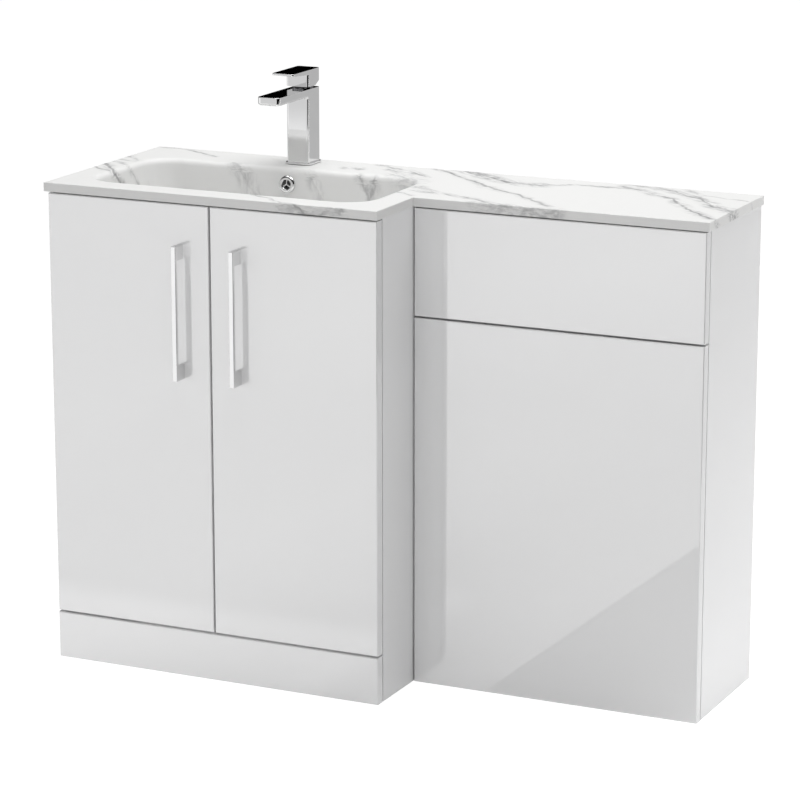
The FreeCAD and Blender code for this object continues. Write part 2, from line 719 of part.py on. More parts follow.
def tap_lever():
    """The cartridge and dome in the column, the fork that swivels, and the lever that lifts on its pin."""
    housing = rod("cartridge_housing", "z", "basin_axis", "tap_axis", "tap_top - cartridge_length + seat",
                  "cartridge_radius", "cartridge_length - 2 * seat")
    well = rod("rotor_well", "z", "basin_axis", "tap_axis", "tap_top - rotor_length",
               "rotor_radius + running_fit", "rotor_length + overrun")
    node(cut("cartridge_bored", housing, [well]), "tap_cartridge")

    ball = doc.addObject("Part::Sphere", "dome_ball")
    bind(ball, Radius="dome_radius")
    place(ball, "basin_axis", "tap_axis", "lever_foot")
    below = block("dome_cut", "basin_axis - dome_radius - overrun", "tap_axis - dome_radius - overrun",
                  "tap_top - 2 * dome_radius", "2 * (dome_radius + overrun)", "2 * (dome_radius + overrun)",
                  "2 * dome_radius")
    throat = rod("dome_throat", "z", "basin_axis", "tap_axis", "tap_top - overrun", "dome_bore",
                 "2 * dome_radius + overrun")
    node(cut("dome_ring", ball, [below, throat]), "tap_dome")

    disc = rod("rotor_disc", "z", "basin_axis", "tap_axis", "tap_top - rotor_length + seat", "rotor_radius",
               "rotor_top - tap_top + rotor_length - seat")
    cheeks = []
    for side, across in (("left", "-stem_width / 2 - fork_play - fork_sheet"),
                         ("right", "stem_width / 2 + fork_play")):
        cheeks.append(block(f"fork_{side}", f"basin_axis + {across}", "tap_axis - stem_depth / 2",
                            "rotor_top - fork_sheet", "fork_sheet", "stem_depth",
                            "lever_foot + 2 * pivot_pin_radius - rotor_top + fork_sheet"))
    fork = join("rotor_and_fork", [disc] + cheeks)
    reach = "(stem_width / 2 + fork_play + fork_sheet)"
    pin_hole = rod("fork_pin_hole", "x", f"basin_axis - {reach} - overrun", "tap_axis", "lever_foot",
                   "pivot_pin_radius + seat", f"2 * ({reach} + overrun)")
    node(cut("rotor_drilled", fork, [pin_hole]), "tap_rotor")
    node(rod("lever_pin", "x", f"basin_axis - {reach}", "tap_axis", "lever_foot",
             "pivot_pin_radius", f"2 * {reach}"), "tap_pin")

    bar = block("stem_bar", "basin_axis - stem_width / 2", "tap_axis - stem_depth / 2",
                "lever_foot - stem_tail", "stem_width", "stem_depth", "stem_tail + stem_length")
    eye = rod("stem_eye", "x", "basin_axis - stem_width", "tap_axis", "lever_foot",
              "pivot_pin_radius + running_fit", "2 * stem_width")
    node(cut("stem_drilled", bar, [eye]), "tap_stem")

    body = body_at("lever_casting", "basin_axis - tap_width / 2", "0", "lever_foot")
    profile = sketch_on(body, "lever_profile", "YZ_Plane")
    block_front = "-tap_setback - tap_depth"
    tip = "-tap_setback - lever_reach"
    outline(profile, [("-tap_setback", "lever_heel_height"), ("-tap_setback", "lever_height"),
                      (tip, "lever_height"), (tip, "lever_height - lever_tip"),
                      (block_front, "lever_height - lever_root"), (block_front, "0"),
                      ("-tap_setback - lever_heel_length", "0")])
    extrude(body, "Pad", "lever_pad", profile, "tap_width")
    wide, crown, end = measure("tap_width"), measure("lever_height"), measure(tip)
    ease(body, "lever_nose", "lever_tip_round", lambda edge: on_side(edge, wide) and level(edge, "y", end))
    cheek = end + measure("lever_tip_round")
    ease(body, "lever_corners", "lever_corner_round",
         lambda edge: on_side(edge, wide) and edge.BoundBox.YLength < NEAR and not level(edge, "y", cheek))
    ease(body, "lever_edges", "lever_edge_round",
         lambda edge: edge.BoundBox.YLength > NEAR and on_side(edge, wide)
         and not level(edge, "z", 0) and not level(edge, "z", crown))
    ease(body, "lever_rim", "tap_top_round", lambda edge: level(edge, "z", crown))
    socket = doc.addObject("Part::Sphere", "lever_socket")
    bind(socket, Radius="dome_radius + dome_play")
    place(socket, "basin_axis", "tap_axis", "lever_foot")
    slot = block("stem_socket", "basin_axis - stem_width / 2 - seat", "tap_axis - stem_depth / 2 - seat",
                 "lever_foot", "stem_width + 2 * seat", "stem_depth + 2 * seat", "stem_length + seat")
    node(cut("lever_hollowed", body, [socket, slot]), "tap_lever")


# Boards and fronts
def front(label, x, back, low, width, height):
    """A front board with softened edges, standing on its back plane."""
    body = body_at(label + "_board", x, back, low)
    face = sketch_on(body, label + "_face", "XZ_Plane")
    rectangle(face, "0", "0", width, height)
    extrude(body, "Pad", label + "_pad", face, "front_thickness")
    near_face = -measure("front_thickness")
    ease(body, label + "_edges", "front_edge_round", lambda edge: level(edge, "y", near_face))
    return body


def drill(body, name, centres, radius, depth):
    """Holes into a front from its back."""
    sketch = sketch_on(body, name + "_places", "XZ_Plane")
    circles(sketch, centres, radius)
    extrude(body, "Pocket", name, sketch, depth, True)


def angle_bracket(name, side, inner, back, middle):
    """A folded bracket with one leg on a side board's inner face and one on the back of a front."""
    legs = {"left": (inner, inner), "right": (f"{inner} - bracket_leg", f"{inner} - bracket_sheet")}
    across, along = legs[side]
    low = f"{middle} - bracket_width / 2"
    front_leg = block(name + "_front_leg", across, back, low,
                      "bracket_leg", "bracket_sheet", "bracket_width")
    side_leg = block(name + "_side_leg", along, back, low,
                     "bracket_sheet", "bracket_leg", "bracket_width")
    folded = join(name + "_folded", [front_leg, side_leg])
    front_hole = rod(name + "_front_hole", "y", f"{across} + bracket_leg / 2", f"{back} - overrun", middle,
                     "bracket_hole_radius", "bracket_sheet + 2 * overrun")
    side_hole = rod(name + "_side_hole", "x", f"{along} - overrun",
                    f"{back} + bracket_leg * bracket_hole_share", middle,
                    "bracket_hole_radius", "bracket_sheet + 2 * overrun")
    return cut(name, folded, [front_hole, side_hole])


def bolt_places():
    """Places of the bolts that join the two carcasses: depth and height."""
    return [(depth, height) for depth in ("-bolt_inset", "wc_front + bolt_inset")
            for height in ("carcass_height * bolt_low_share", "carcass_height * bolt_high_share")]


def bolt_holes(name):
    """Clearance holes for the joining bolts through both carcass sides."""
    return [rod(f"{name}_{index}", "x", "vanity_right_inner - overrun", depth, height, "bolt_radius + seat",
                "2 * (board_thickness + overrun)") for index, (depth, height) in enumerate(bolt_places())]


def shelf_pin_rods(name, side, radius):
    """The two shelf pins of one side, or the holes for them."""
    start = {"left": "vanity_left_inner - shelf_pin_depth",
             "right": "vanity_right_inner + shelf_pin_depth - shelf_pin_length"}[side]
    depths = ("vanity_front + shelf_setback + shelf_pin_inset", "-service_void - shelf_pin_inset")
    return [rod(f"{name}_{side}_{index}", "x", start, depth, "shelf_height - shelf_pin_radius",
                radius, "shelf_pin_length") for index, depth in enumerate(depths)]


def wall_holes(name, left, right, height):
    """Two holes for wall screws through a back rail."""
    return [rod(f"{name}_{index}", "y", across, "-board_thickness - overrun", height, "wall_screw_radius",
                "board_thickness + 2 * overrun")
            for index, across in enumerate((f"{left} + wall_screw_inset", f"{right} - wall_screw_inset"))]


def vanity_carcass():
    """Sides, base, rails, shelf and plinth of the basin unit."""
    hole = "shelf_pin_radius + seat"
    left = block("vanity_left_board", "left_overhang", "vanity_front", "0",
                 "board_thickness", "-vanity_front", "carcass_height")
    node(cut("vanity_left_drilled", left, shelf_pin_rods("shelf_hole", "left", hole)), "vanity_side_left")
    right = block("vanity_right_board", "vanity_right_inner", "vanity_front", "0",
                  "board_thickness", "-vanity_front", "carcass_height")
    right_holes = shelf_pin_rods("shelf_hole", "right", hole) + bolt_holes("vanity_bolt_hole")
    node(cut("vanity_right_drilled", right, right_holes), "vanity_side_right")
    node(block("base_board", "vanity_left_inner", "vanity_front", "door_bottom",
               "vanity_inner", "-vanity_front - service_void", "board_thickness"), "vanity_base")
    node(block("front_rail_board", "vanity_left_inner", "vanity_front", "carcass_height - rail_height",
               "vanity_inner", "board_thickness", "rail_height"), "vanity_front_rail")
    upper = block("upper_back_board", "vanity_left_inner", "-board_thickness",
                  "carcass_height - back_rail_height", "vanity_inner", "board_thickness", "back_rail_height")
    holes = wall_holes("vanity_wall_hole", "vanity_left_inner", "vanity_right_inner", "wall_screw_height")
    node(cut("upper_back_drilled", upper, holes), "vanity_upper_back_rail")
    node(block("lower_back_board", "vanity_left_inner", "-board_thickness", "door_bottom",
               "vanity_inner", "board_thickness", "back_rail_height"), "vanity_lower_back_rail")
    node(block("shelf_board", "vanity_left_inner + shelf_play", "vanity_front + shelf_setback",
               "shelf_height", "vanity_inner - 2 * shelf_play",
               "-vanity_front - shelf_setback - service_void", "board_thickness"), "vanity_shelf")
    pins = shelf_pin_rods("shelf_pin", "left", "shelf_pin_radius")
    pins += shelf_pin_rods("shelf_pin", "right", "shelf_pin_radius")
    node(gather("shelf_pin_set", pins), "shelf_pins")
    node(front("plinth", "left_overhang", "front_back", "0", "vanity_width", "plinth_height"),
         "vanity_plinth")
    middle = "plinth_height / 2"
    node(gather("plinth_bracket_set", [
        angle_bracket("plinth_bracket_left", "left", "vanity_left_inner", "front_back", middle),
        angle_bracket("plinth_bracket_right", "right", "vanity_right_inner", "front_back", middle),
    ]), "plinth_brackets")
    buffers = []
    for side, across in (("left", "left_overhang + door_width - buffer_inset"),
                         ("right", "basin_width - door_width + buffer_inset")):
        for end, height in (("top", "carcass_height - rail_height / 2"),
                            ("low", "door_bottom + board_thickness / 2")):
            buffers.append(rod(f"buffer_{side}_{end}", "y", across,
                               "vanity_front - front_gap + buffer_play", height,
                               "buffer_radius", "front_gap - buffer_play"))
    node(gather("buffer_set", buffers), "door_buffers")


def door(side):
    """A door with its bored cups, handle and handle screws."""
    left_edge = {"left": "left_overhang", "right": "basin_width - door_width"}[side]
    cup = {"left": "cup_edge + cup_radius", "right": "door_width - cup_edge - cup_radius"}[side]
    grip = {"left": "door_width - handle_inset", "right": "handle_inset"}[side]
    handle_low = "door_height - handle_drop - handle_length"
    posts = [f"{handle_low} + handle_post / 2", f"{handle_low} + handle_length - handle_post / 2"]
    label = f"door_{side}"
    body = front(label, left_edge, "front_back", "door_bottom", "door_width", "door_height")
    drill(body, label + "_cups", [(cup, height) for height in hinge_heights()],
          "cup_radius + seat", "cup_depth + seat")
    drill(body, label + "_screw_holes", [(grip, post) for post in posts], "handle_screw_radius + seat",
          "front_thickness + overrun")
    node(body, label)

    bow = body_at(f"handle_{side}_bow", f"{left_edge} + {grip} - handle_width / 2", "-basin_depth",
                  f"door_bottom + {handle_low}")
    profile = sketch_on(bow, f"handle_{side}_profile", "YZ_Plane")
    inside = "-handle_projection + handle_bar"
    upper = "handle_length - handle_post"
    outline(profile, [("0", "0"), ("0", "handle_post"), (inside, "handle_post"), (inside, upper),
                      ("0", upper), ("0", "handle_length"), ("-handle_projection", "handle_length"),
                      ("-handle_projection", "0")])
    extrude(bow, "Pad", f"handle_{side}_pad", profile, "handle_width")
    ease(bow, f"handle_{side}_edges", "handle_edge_round", lambda edge: edge.BoundBox.YMin < -NEAR)
    drill(bow, f"handle_{side}_holes", [("handle_width / 2", "handle_post / 2"),
                                        ("handle_width / 2", "handle_length - handle_post / 2")],
          "handle_screw_radius + seat", "handle_screw_grip + seat")
    node(bow, f"handle_{side}")

    screws = []
    for index, post in enumerate(posts):
        across = f"{left_edge} + {grip}"
        height = f"door_bottom + {post}"
        shank = rod(f"handle_{side}_shank_{index}", "y", across, "-basin_depth - handle_screw_grip", height,
                    "handle_screw_radius", "handle_screw_grip + front_thickness + screw_head_height / 2")
        head = rod(f"handle_{side}_head_{index}", "y", across, "front_back", height,
                   "screw_head_radius", "screw_head_height")
        screws.append(join(f"handle_{side}_screw_{index}", [shank, head]))
    node(gather(f"handle_{side}_screw_set", screws), f"handle_screws_{side}")


# Concealed hinges: a cup in the door turns on a pin in the eye of a cranked arm
def hinge_heights():
    """Heights of the hinges above the door's lower edge."""
    return ["hinge_inset", "door_height - hinge_inset"]


def across(side, inward):
    """A place measured inwards from a side's outer face."""
    return {"left": f"left_overhang + {inward}", "right": f"basin_width - ({inward})"}[side]


def hinge_block(name, side, start, stop, back, depth, low, height):
    """A box between two distances inwards from a side's outer face."""
    corner = {"left": across("left", start), "right": across("right", stop)}[side]
    return block(name, corner, back, low, f"({stop}) - ({start})", depth, height)


def band(name, points, half_width, low, height):
    """A flat strip with round ends along a path, seen from above."""
    path = doc.addObject("Sketcher::SketchObject", name + "_path")
    places = [(f"({x}) - middle_x", f"({y}) + middle_y") for x, y in points]
    spots = [Vector(measure(u), measure(v), 0) for u, v in places]
    for start, stop in zip(spots, spots[1:]):
        path.addGeometry(Part.LineSegment(start, stop))
    for index in range(len(spots) - 2):
        path.addConstraint(Sketcher.Constraint("Coincident", index, 2, index + 1, 1))
    for index, (u, v) in enumerate(places):
        last = index == len(spots) - 1
        fix_point(path, index - 1 if last else index, 2 if last else 1, u, v)
    strip = doc.addObject("Part::Offset2D", name + "_outline")
    strip.Source = path
    strip.Mode = "Pipe"
    strip.Fill = True
    bind(strip, Value=half_width)
    solid = doc.addObject("Part::Extrusion", name)
    solid.Base = strip
    solid.DirMode = "Custom"
    solid.Dir = Vector(0, 0, 1)
    solid.Solid = True
    bind(solid, LengthFwd=height)
    solid.setExpression("Placement.Base.z", formula(low))
    return solid


def hinges():
    """Mounting plates and cranked arms on the carcass, cups and pins in the doors."""
    plates = []
    arms = []
    for side in ("left", "right"):
        cups = []
        pins = []
        for index, height in enumerate(hinge_heights()):
            name = f"hinge_{side}_{index}"
            middle = f"door_bottom + {height}"
            plate_depth = "front_back + plate_setback"
            wings = hinge_block(name + "_wings", side, "board_thickness", "board_thickness + plate_sheet",
                                f"{plate_depth} - wing_depth / 2", "wing_depth",
                                f"{middle} - wing_span / 2", "wing_span")
            saddle = hinge_block(name + "_saddle", side, "board_thickness", "arm_height - arm_sheet",
                                 "front_back + arm_nose", "arm_length - arm_nose",
                                 f"{middle} - arm_width / 2", "arm_width")
            plates.append(join(name + "_plate", [wings, saddle]))

            crank = [("pivot_inward", "pivot_depth"), ("neck_start", "neck_depth"),
                     ("neck_end", "neck_depth"), ("arm_height", "-arm_drop"),
                     ("arm_height", "-arm_length + arm_sheet")]
            path = [(across(side, inward), f"front_back - ({depth})") for inward, depth in crank]
            strip = band(name + "_strip", path, "arm_sheet", f"{middle} - arm_width / 2", "arm_width")
            pivot = (across(side, "pivot_inward"), "front_back - pivot_depth")
            eye = rod(name + "_eye", "z", *pivot, f"{middle} - eye_width / 2", "eye_radius", "eye_width")
            eye_hole = rod(name + "_eye_hole", "z", *pivot, f"{middle} - arm_width / 2 - overrun",
                           "hinge_pin_radius + running_fit", "arm_width + 2 * overrun")
            arms.append(cut(name + "_arm", join(name + "_crank", [strip, eye]), [eye_hole]))

            centre = across(side, "cup_edge + cup_radius")
            shell = rod(name + "_shell", "y", centre, "front_back - cup_depth", middle,
                        "cup_radius", "cup_depth")
            hollow = rod(name + "_hollow", "y", centre, "front_back - cup_depth + cup_wall", middle,
                         "cup_radius - cup_wall", "cup_depth")
            lugs = block(name + "_lugs", f"{centre} - lug_width / 2", "front_back",
                         f"{middle} - lug_span / 2", "lug_width", "cup_wall", "lug_span")
            opening = rod(name + "_opening", "y", centre, "front_back - overrun", middle,
                          "cup_radius - cup_wall", "cup_wall + 2 * overrun")
            flange = cut(name + "_flange", lugs, [opening])
            pin_length = "2 * hinge_pin_half"
            pin_hole = rod(name + "_pin_hole", "z", *pivot, f"{middle} - hinge_pin_half - seat",
                           "hinge_pin_radius + seat", f"{pin_length} + 2 * seat")
            boss = rod(name + "_boss", "z", *pivot, f"{middle} - hinge_pin_half",
                       "hinge_boss_radius", pin_length)
            arm_room = block(name + "_arm_room", f"{centre} - cup_radius", "front_back - cup_depth",
                             f"{middle} - arm_width / 2 - hinge_boss_gap", "2 * cup_radius", "cup_depth",
                             "arm_width + 2 * hinge_boss_gap")
            bosses = cut(name + "_bosses", shared(name + "_boss_blank", boss, shell), [arm_room])
            cup = join(name + "_cup_blank", [cut(name + "_cup_shell", shell, [hollow]), flange, bosses])
            cups.append(cut(name + "_cup", cup, [pin_hole]))
            pins.append(rod(name + "_pin", "z", *pivot, f"{middle} - hinge_pin_half",
                            "hinge_pin_radius", pin_length))
        node(gather(f"hinge_cup_set_{side}", cups), f"hinge_cups_{side}")
        node(gather(f"hinge_pin_set_{side}", pins), f"hinge_pins_{side}")
    node(gather("hinge_plate_set", plates), "hinge_plates")
    node(gather("hinge_arm_set", arms), "hinge_arms")


# Toilet unit
def clip_places():
    """Places of the access panel's clips: across and height."""
    return [(x, height) for x in ("wc_left_inner + clip_inset", "wc_right - board_thickness - clip_inset")
            for height in ("access_bottom + middle_rail_overlap / 2", "carcass_height - rail_height / 2")]


def clip_rods(name, start, radius, length):
    """One cylinder at each clip, pointing to the wall."""
    return [rod(f"{name}_{index}", "y", x, start, height, radius, length)
            for index, (x, height) in enumerate(clip_places())]


def wc_carcass():
    """Sides and rails of the toilet unit, with the sockets of the access panel's clips."""
    left = block("wc_left_board", "basin_width", "wc_front", "0",
                 "board_thickness", "-wc_front", "carcass_height")
    node(cut("wc_left_drilled", left, bolt_holes("wc_bolt_hole")), "wc_side_left")
    node(block("wc_right_board", "wc_right - board_thickness", "wc_front", "0",
               "board_thickness", "-wc_front", "carcass_height"), "wc_side_right")
    socket_radius = "clip_pin_radius + clip_fit + clip_wall"
    socket_length = "clip_pin_length + clip_floor"
    wells = clip_rods("clip_well", "wc_front - overrun", f"{socket_radius} + seat",
                      f"{socket_length} + overrun")
    middle_low = "access_bottom + middle_rail_overlap - rail_height"
    for label, low, well_rows in (("wc_top_rail", "carcass_height - rail_height", (1, 3)),
                                  ("wc_middle_rail", middle_low, (0, 2))):
        rail = block(label + "_board", "wc_left_inner", "wc_front", low,
                     "wc_inner", "board_thickness", "rail_height")
        node(cut(label + "_drilled", rail, [wells[row] for row in well_rows]), label)
    node(block("wc_bottom_board", "wc_left_inner", "wc_front", "bottom_rail_lift",
               "wc_inner", "board_thickness", "rail_height"), "wc_bottom_rail")
    back = block("wc_back_board", "wc_left_inner", "-board_thickness", "carcass_height - back_rail_height",
                 "wc_inner", "board_thickness", "back_rail_height")
    holes = wall_holes("wc_wall_hole", "wc_left_inner", "wc_right - board_thickness", "wall_screw_height")
    node(cut("wc_back_drilled", back, holes), "wc_back_rail")

    shells = clip_rods("clip_shell", "wc_front", socket_radius, socket_length)
    bores = clip_rods("clip_bore", "wc_front - overrun", "clip_pin_radius + clip_fit",
                      "clip_pin_length + overrun")
    sockets = [cut(f"clip_socket_{index}", shell, [bore])
               for index, (shell, bore) in enumerate(zip(shells, bores))]
    node(gather("clip_socket_set", sockets), "panel_sockets")

    bolts = []
    for index, (depth, height) in enumerate(bolt_places()):
        shank = rod(f"bolt_shank_{index}", "x", "vanity_right_inner - bolt_head_height / 2", depth, height,
                    "bolt_radius", "2 * board_thickness + bolt_head_height")
        ends = (("vanity", "vanity_right_inner - bolt_head_height"), ("wc", "wc_left_inner"))
        heads = [rod(f"bolt_head_{index}_{end}", "x", start, depth, height,
                     "bolt_head_radius", "bolt_head_height") for end, start in ends]
        bolts.append(join(f"bolt_{index}", [shank] + heads))
    node(gather("bolt_set", bolts), "joining_bolts")


def wc_fronts():
    """The fixed front panel on its brackets, and the access panel on its clips."""
    node(front("wc_lower", "wc_panel_left", "wc_panel_back", "0", "wc_panel_width", "lower_panel_height"),
         "wc_front_panel")
    brackets = []
    for side, inner in (("left", "wc_left_inner"), ("right", "(wc_right - board_thickness)")):
        for index, share in enumerate(("bracket_low_share", "bracket_middle_share", "bracket_high_share")):
            brackets.append(angle_bracket(f"panel_bracket_{side}_{index}", side, inner, "wc_panel_back",
                                          f"lower_panel_height * {share}"))
    node(gather("panel_bracket_set", brackets), "panel_brackets")
    node(front("wc_access", "wc_panel_left", "wc_panel_back", "access_bottom",
               "wc_panel_width", "access_height"), "wc_access_panel")
    discs = clip_rods("stud_plate", "wc_panel_back", "clip_plate_radius", "front_gap - buffer_play")
    pins = clip_rods("stud_pin", "wc_panel_back", "clip_pin_radius",
                     "front_gap + clip_pin_length - buffer_play")
    studs = [join(f"stud_{index}", [disc, pin]) for index, (disc, pin) in enumerate(zip(discs, pins))]
    node(gather("stud_set", studs), "panel_studs")


basin_worktop()
overflow_trim()
waste()
tap_fixings()
tap_body()
tap_lever()
vanity_carcass()
door("left")
door("right")
hinges()
wc_carcass()
wc_fronts()
doc.removeObject("probe")
doc.recompute()

faults = [thing.Name for thing in doc.Objects if {"Invalid", "Error"} & set(thing.State)]
faults += [thing.Label for thing in nodes if thing.Shape.isNull() or not thing.Shape.isValid()]
faults += [thing.Label for thing in nodes if not thing.Shape.Solids]
if faults:
    raise RuntimeError("These objects failed: " + ", ".join(faults))
os.makedirs("parts", exist_ok=True)
for thing in nodes:
    thing.Shape.exportStep(f"parts/{thing.Label}.step")
    print(thing.Label, len(thing.Shape.Solids), round(thing.Shape.Volume))
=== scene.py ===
"""Dresses the vanity unit for its studio picture.

The unit's solids stay as they are and take finishes drawn with nodes. The small fittings that the solids
leave out, such as screw heads, threads and the honeycomb of the tap's outlet, are modelled here.
"""

import json
import logging
import math
from dataclasses import dataclass
from enum import Enum
from typing import Any, Callable, ClassVar, Mapping, Sequence

import bpy
from mathutils import Matrix, Vector


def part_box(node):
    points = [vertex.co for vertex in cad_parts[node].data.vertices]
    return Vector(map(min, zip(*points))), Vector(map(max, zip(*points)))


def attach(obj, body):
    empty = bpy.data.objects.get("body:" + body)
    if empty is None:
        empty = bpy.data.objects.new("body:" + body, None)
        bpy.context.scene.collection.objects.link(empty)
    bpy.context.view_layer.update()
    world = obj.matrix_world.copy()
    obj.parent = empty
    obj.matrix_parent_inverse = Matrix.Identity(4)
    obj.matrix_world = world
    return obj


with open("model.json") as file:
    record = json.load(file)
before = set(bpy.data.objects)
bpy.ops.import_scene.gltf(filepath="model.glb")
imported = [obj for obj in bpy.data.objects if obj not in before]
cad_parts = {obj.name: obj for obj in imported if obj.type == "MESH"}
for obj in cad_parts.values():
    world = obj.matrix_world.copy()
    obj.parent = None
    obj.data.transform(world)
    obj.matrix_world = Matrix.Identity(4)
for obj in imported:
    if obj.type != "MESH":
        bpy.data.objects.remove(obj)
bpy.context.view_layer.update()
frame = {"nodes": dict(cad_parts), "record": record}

Point = tuple[float, float, float]
Place = tuple[float, float]
Piece = bpy.types.Object
Material = bpy.types.Material
Socket = bpy.types.NodeSocket
Tree = bpy.types.NodeTree

MM = 0.001
WHITE = (1.0, 1.0, 1.0, 1.0)
# Heights of the door hinges above the floor, in millimetres
HINGE_HEIGHTS = (182, 693)
# A face looks along an axis when that part of its normal is above the first of these, and lies along the
# axis when it is below the second
LOOKS_ALONG = 0.9
LIES_ALONG = 0.1
# Edges sharper than this many degrees stay sharp when a piece is smoothed
SHARP_FROM = 35

logging.basicConfig(level=logging.INFO, format="%(message)s")
report = logging.getLogger("vanity_unit")


class Side(Enum):
    """The two hands of the unit, and the way from each side board into the cupboard."""

    LEFT = 1
    RIGHT = -1


class Facing(Enum):
    """The ways that a screw head looks, as the turn from a head that looks up."""

    RIGHT = ("Y", 90)
    LEFT = ("Y", -90)
    BACK = ("X", -90)

    def at(self, spot: Point) -> Matrix:
        """Gives the place of a head that looks this way, with its underside at a spot in metres."""
        axis, angle = self.value
        return Matrix.Translation(spot) @ Matrix.Rotation(math.radians(angle), 4, axis)


# Colours and nodes
def linear(hex_colour: str) -> tuple[float, float, float, float]:
    """Turns an sRGB hex colour to linear light, by the constants of the sRGB curve.

    Args:
        hex_colour: Colour as #RRGGBB.

    Returns:
        Red, green, blue and alpha for a colour socket.
    """
    parts = [int(hex_colour[start:start + 2], 16) / 255 for start in (1, 3, 5)]
    light = [part / 12.92 if part <= 0.04045 else ((part + 0.055) / 1.055) ** 2.4 for part in parts]
    return (light[0], light[1], light[2], 1.0)


def add_node(tree: Tree, kind: str, inputs: Mapping[Any, Any] | None = None,
             **settings: Any) -> bpy.types.Node:
    """Adds a shader node with its settings, values and links.

    Args:
        tree: Node tree that takes the node.
        kind: Node type without its ShaderNode prefix.
        inputs: Values, or output sockets to link from, by input name or number.
        settings: Properties of the node.

    Returns:
        The new node.
    """
    node = tree.nodes.new("ShaderNode" + kind)
    for name, value in settings.items():
        setattr(node, name, value)
    for key, value in (inputs or {}).items():
        if isinstance(value, Socket):
            tree.links.new(value, node.inputs[key])
        else:
            node.inputs[key].default_value = value
    return node


def calculate(tree: Tree, operation: str, *values: Socket | float, **settings: Any) -> Socket:
    """Works out a number from values with a node."""
    return add_node(tree, "Math", dict(enumerate(values)), operation=operation, **settings).outputs[0]


def calculate_vector(tree: Tree, operation: str, *values: Any) -> Socket:
    """Works out a vector from values with a node, or the number of a distance or a dot product."""
    node = add_node(tree, "VectorMath", dict(enumerate(values)), operation=operation)
    return node.outputs["Value" if operation in ("DISTANCE", "DOT_PRODUCT") else "Vector"]


def ranged(tree: Tree, value: Socket, span: Place, ends: tuple[Socket | float, Socket | float],
           **settings: Any) -> Socket:
    """Maps a span of a value to the range between two ends, and holds the ends beyond it."""
    inputs = {"Value": value, 1: span[0], 2: span[1], 3: ends[0], 4: ends[1]}
    return add_node(tree, "MapRange", inputs, **settings).outputs[0]


def mix_colours(tree: Tree, share: Socket, first: Any, second: Any) -> Socket:
    """Mixes two colours by the share of the second one."""
    return add_node(tree, "Mix", {"Factor": share, 6: first, 7: second}, data_type="RGBA").outputs[2]


def noise(tree: Tree, place: Socket, size: float, detail: float = 2.0) -> bpy.types.Node:
    """Adds noise with patches of a real size in millimetres, and finer layers in them."""
    return add_node(tree, "TexNoise", {"Vector": place, "Scale": per_metre(size), "Detail": detail})


def empty_material(name: str) -> tuple[Material, Tree]:
    """Starts a material with no nodes.

    Args:
        name: Name of the real material.

    Returns:
        The material and its node tree.
    """
    material = bpy.data.materials.new(name)
    material.use_nodes = True
    material.node_tree.nodes.clear()
    return material, material.node_tree


def per_metre(millimetres: float) -> float:
    """Gives a texture's scale from the real size of one of its features."""
    return 1 / (millimetres * MM)


# Finishes
@dataclass(frozen=True)
class Vein:
    """A sheet of grey mineral in the cast marble, in millimetres, with a feathered cloud on both sides."""

    path: tuple[Place, ...]
    line_strength: float
    feather: float
    feather_strength: float
    line: float = 3.0


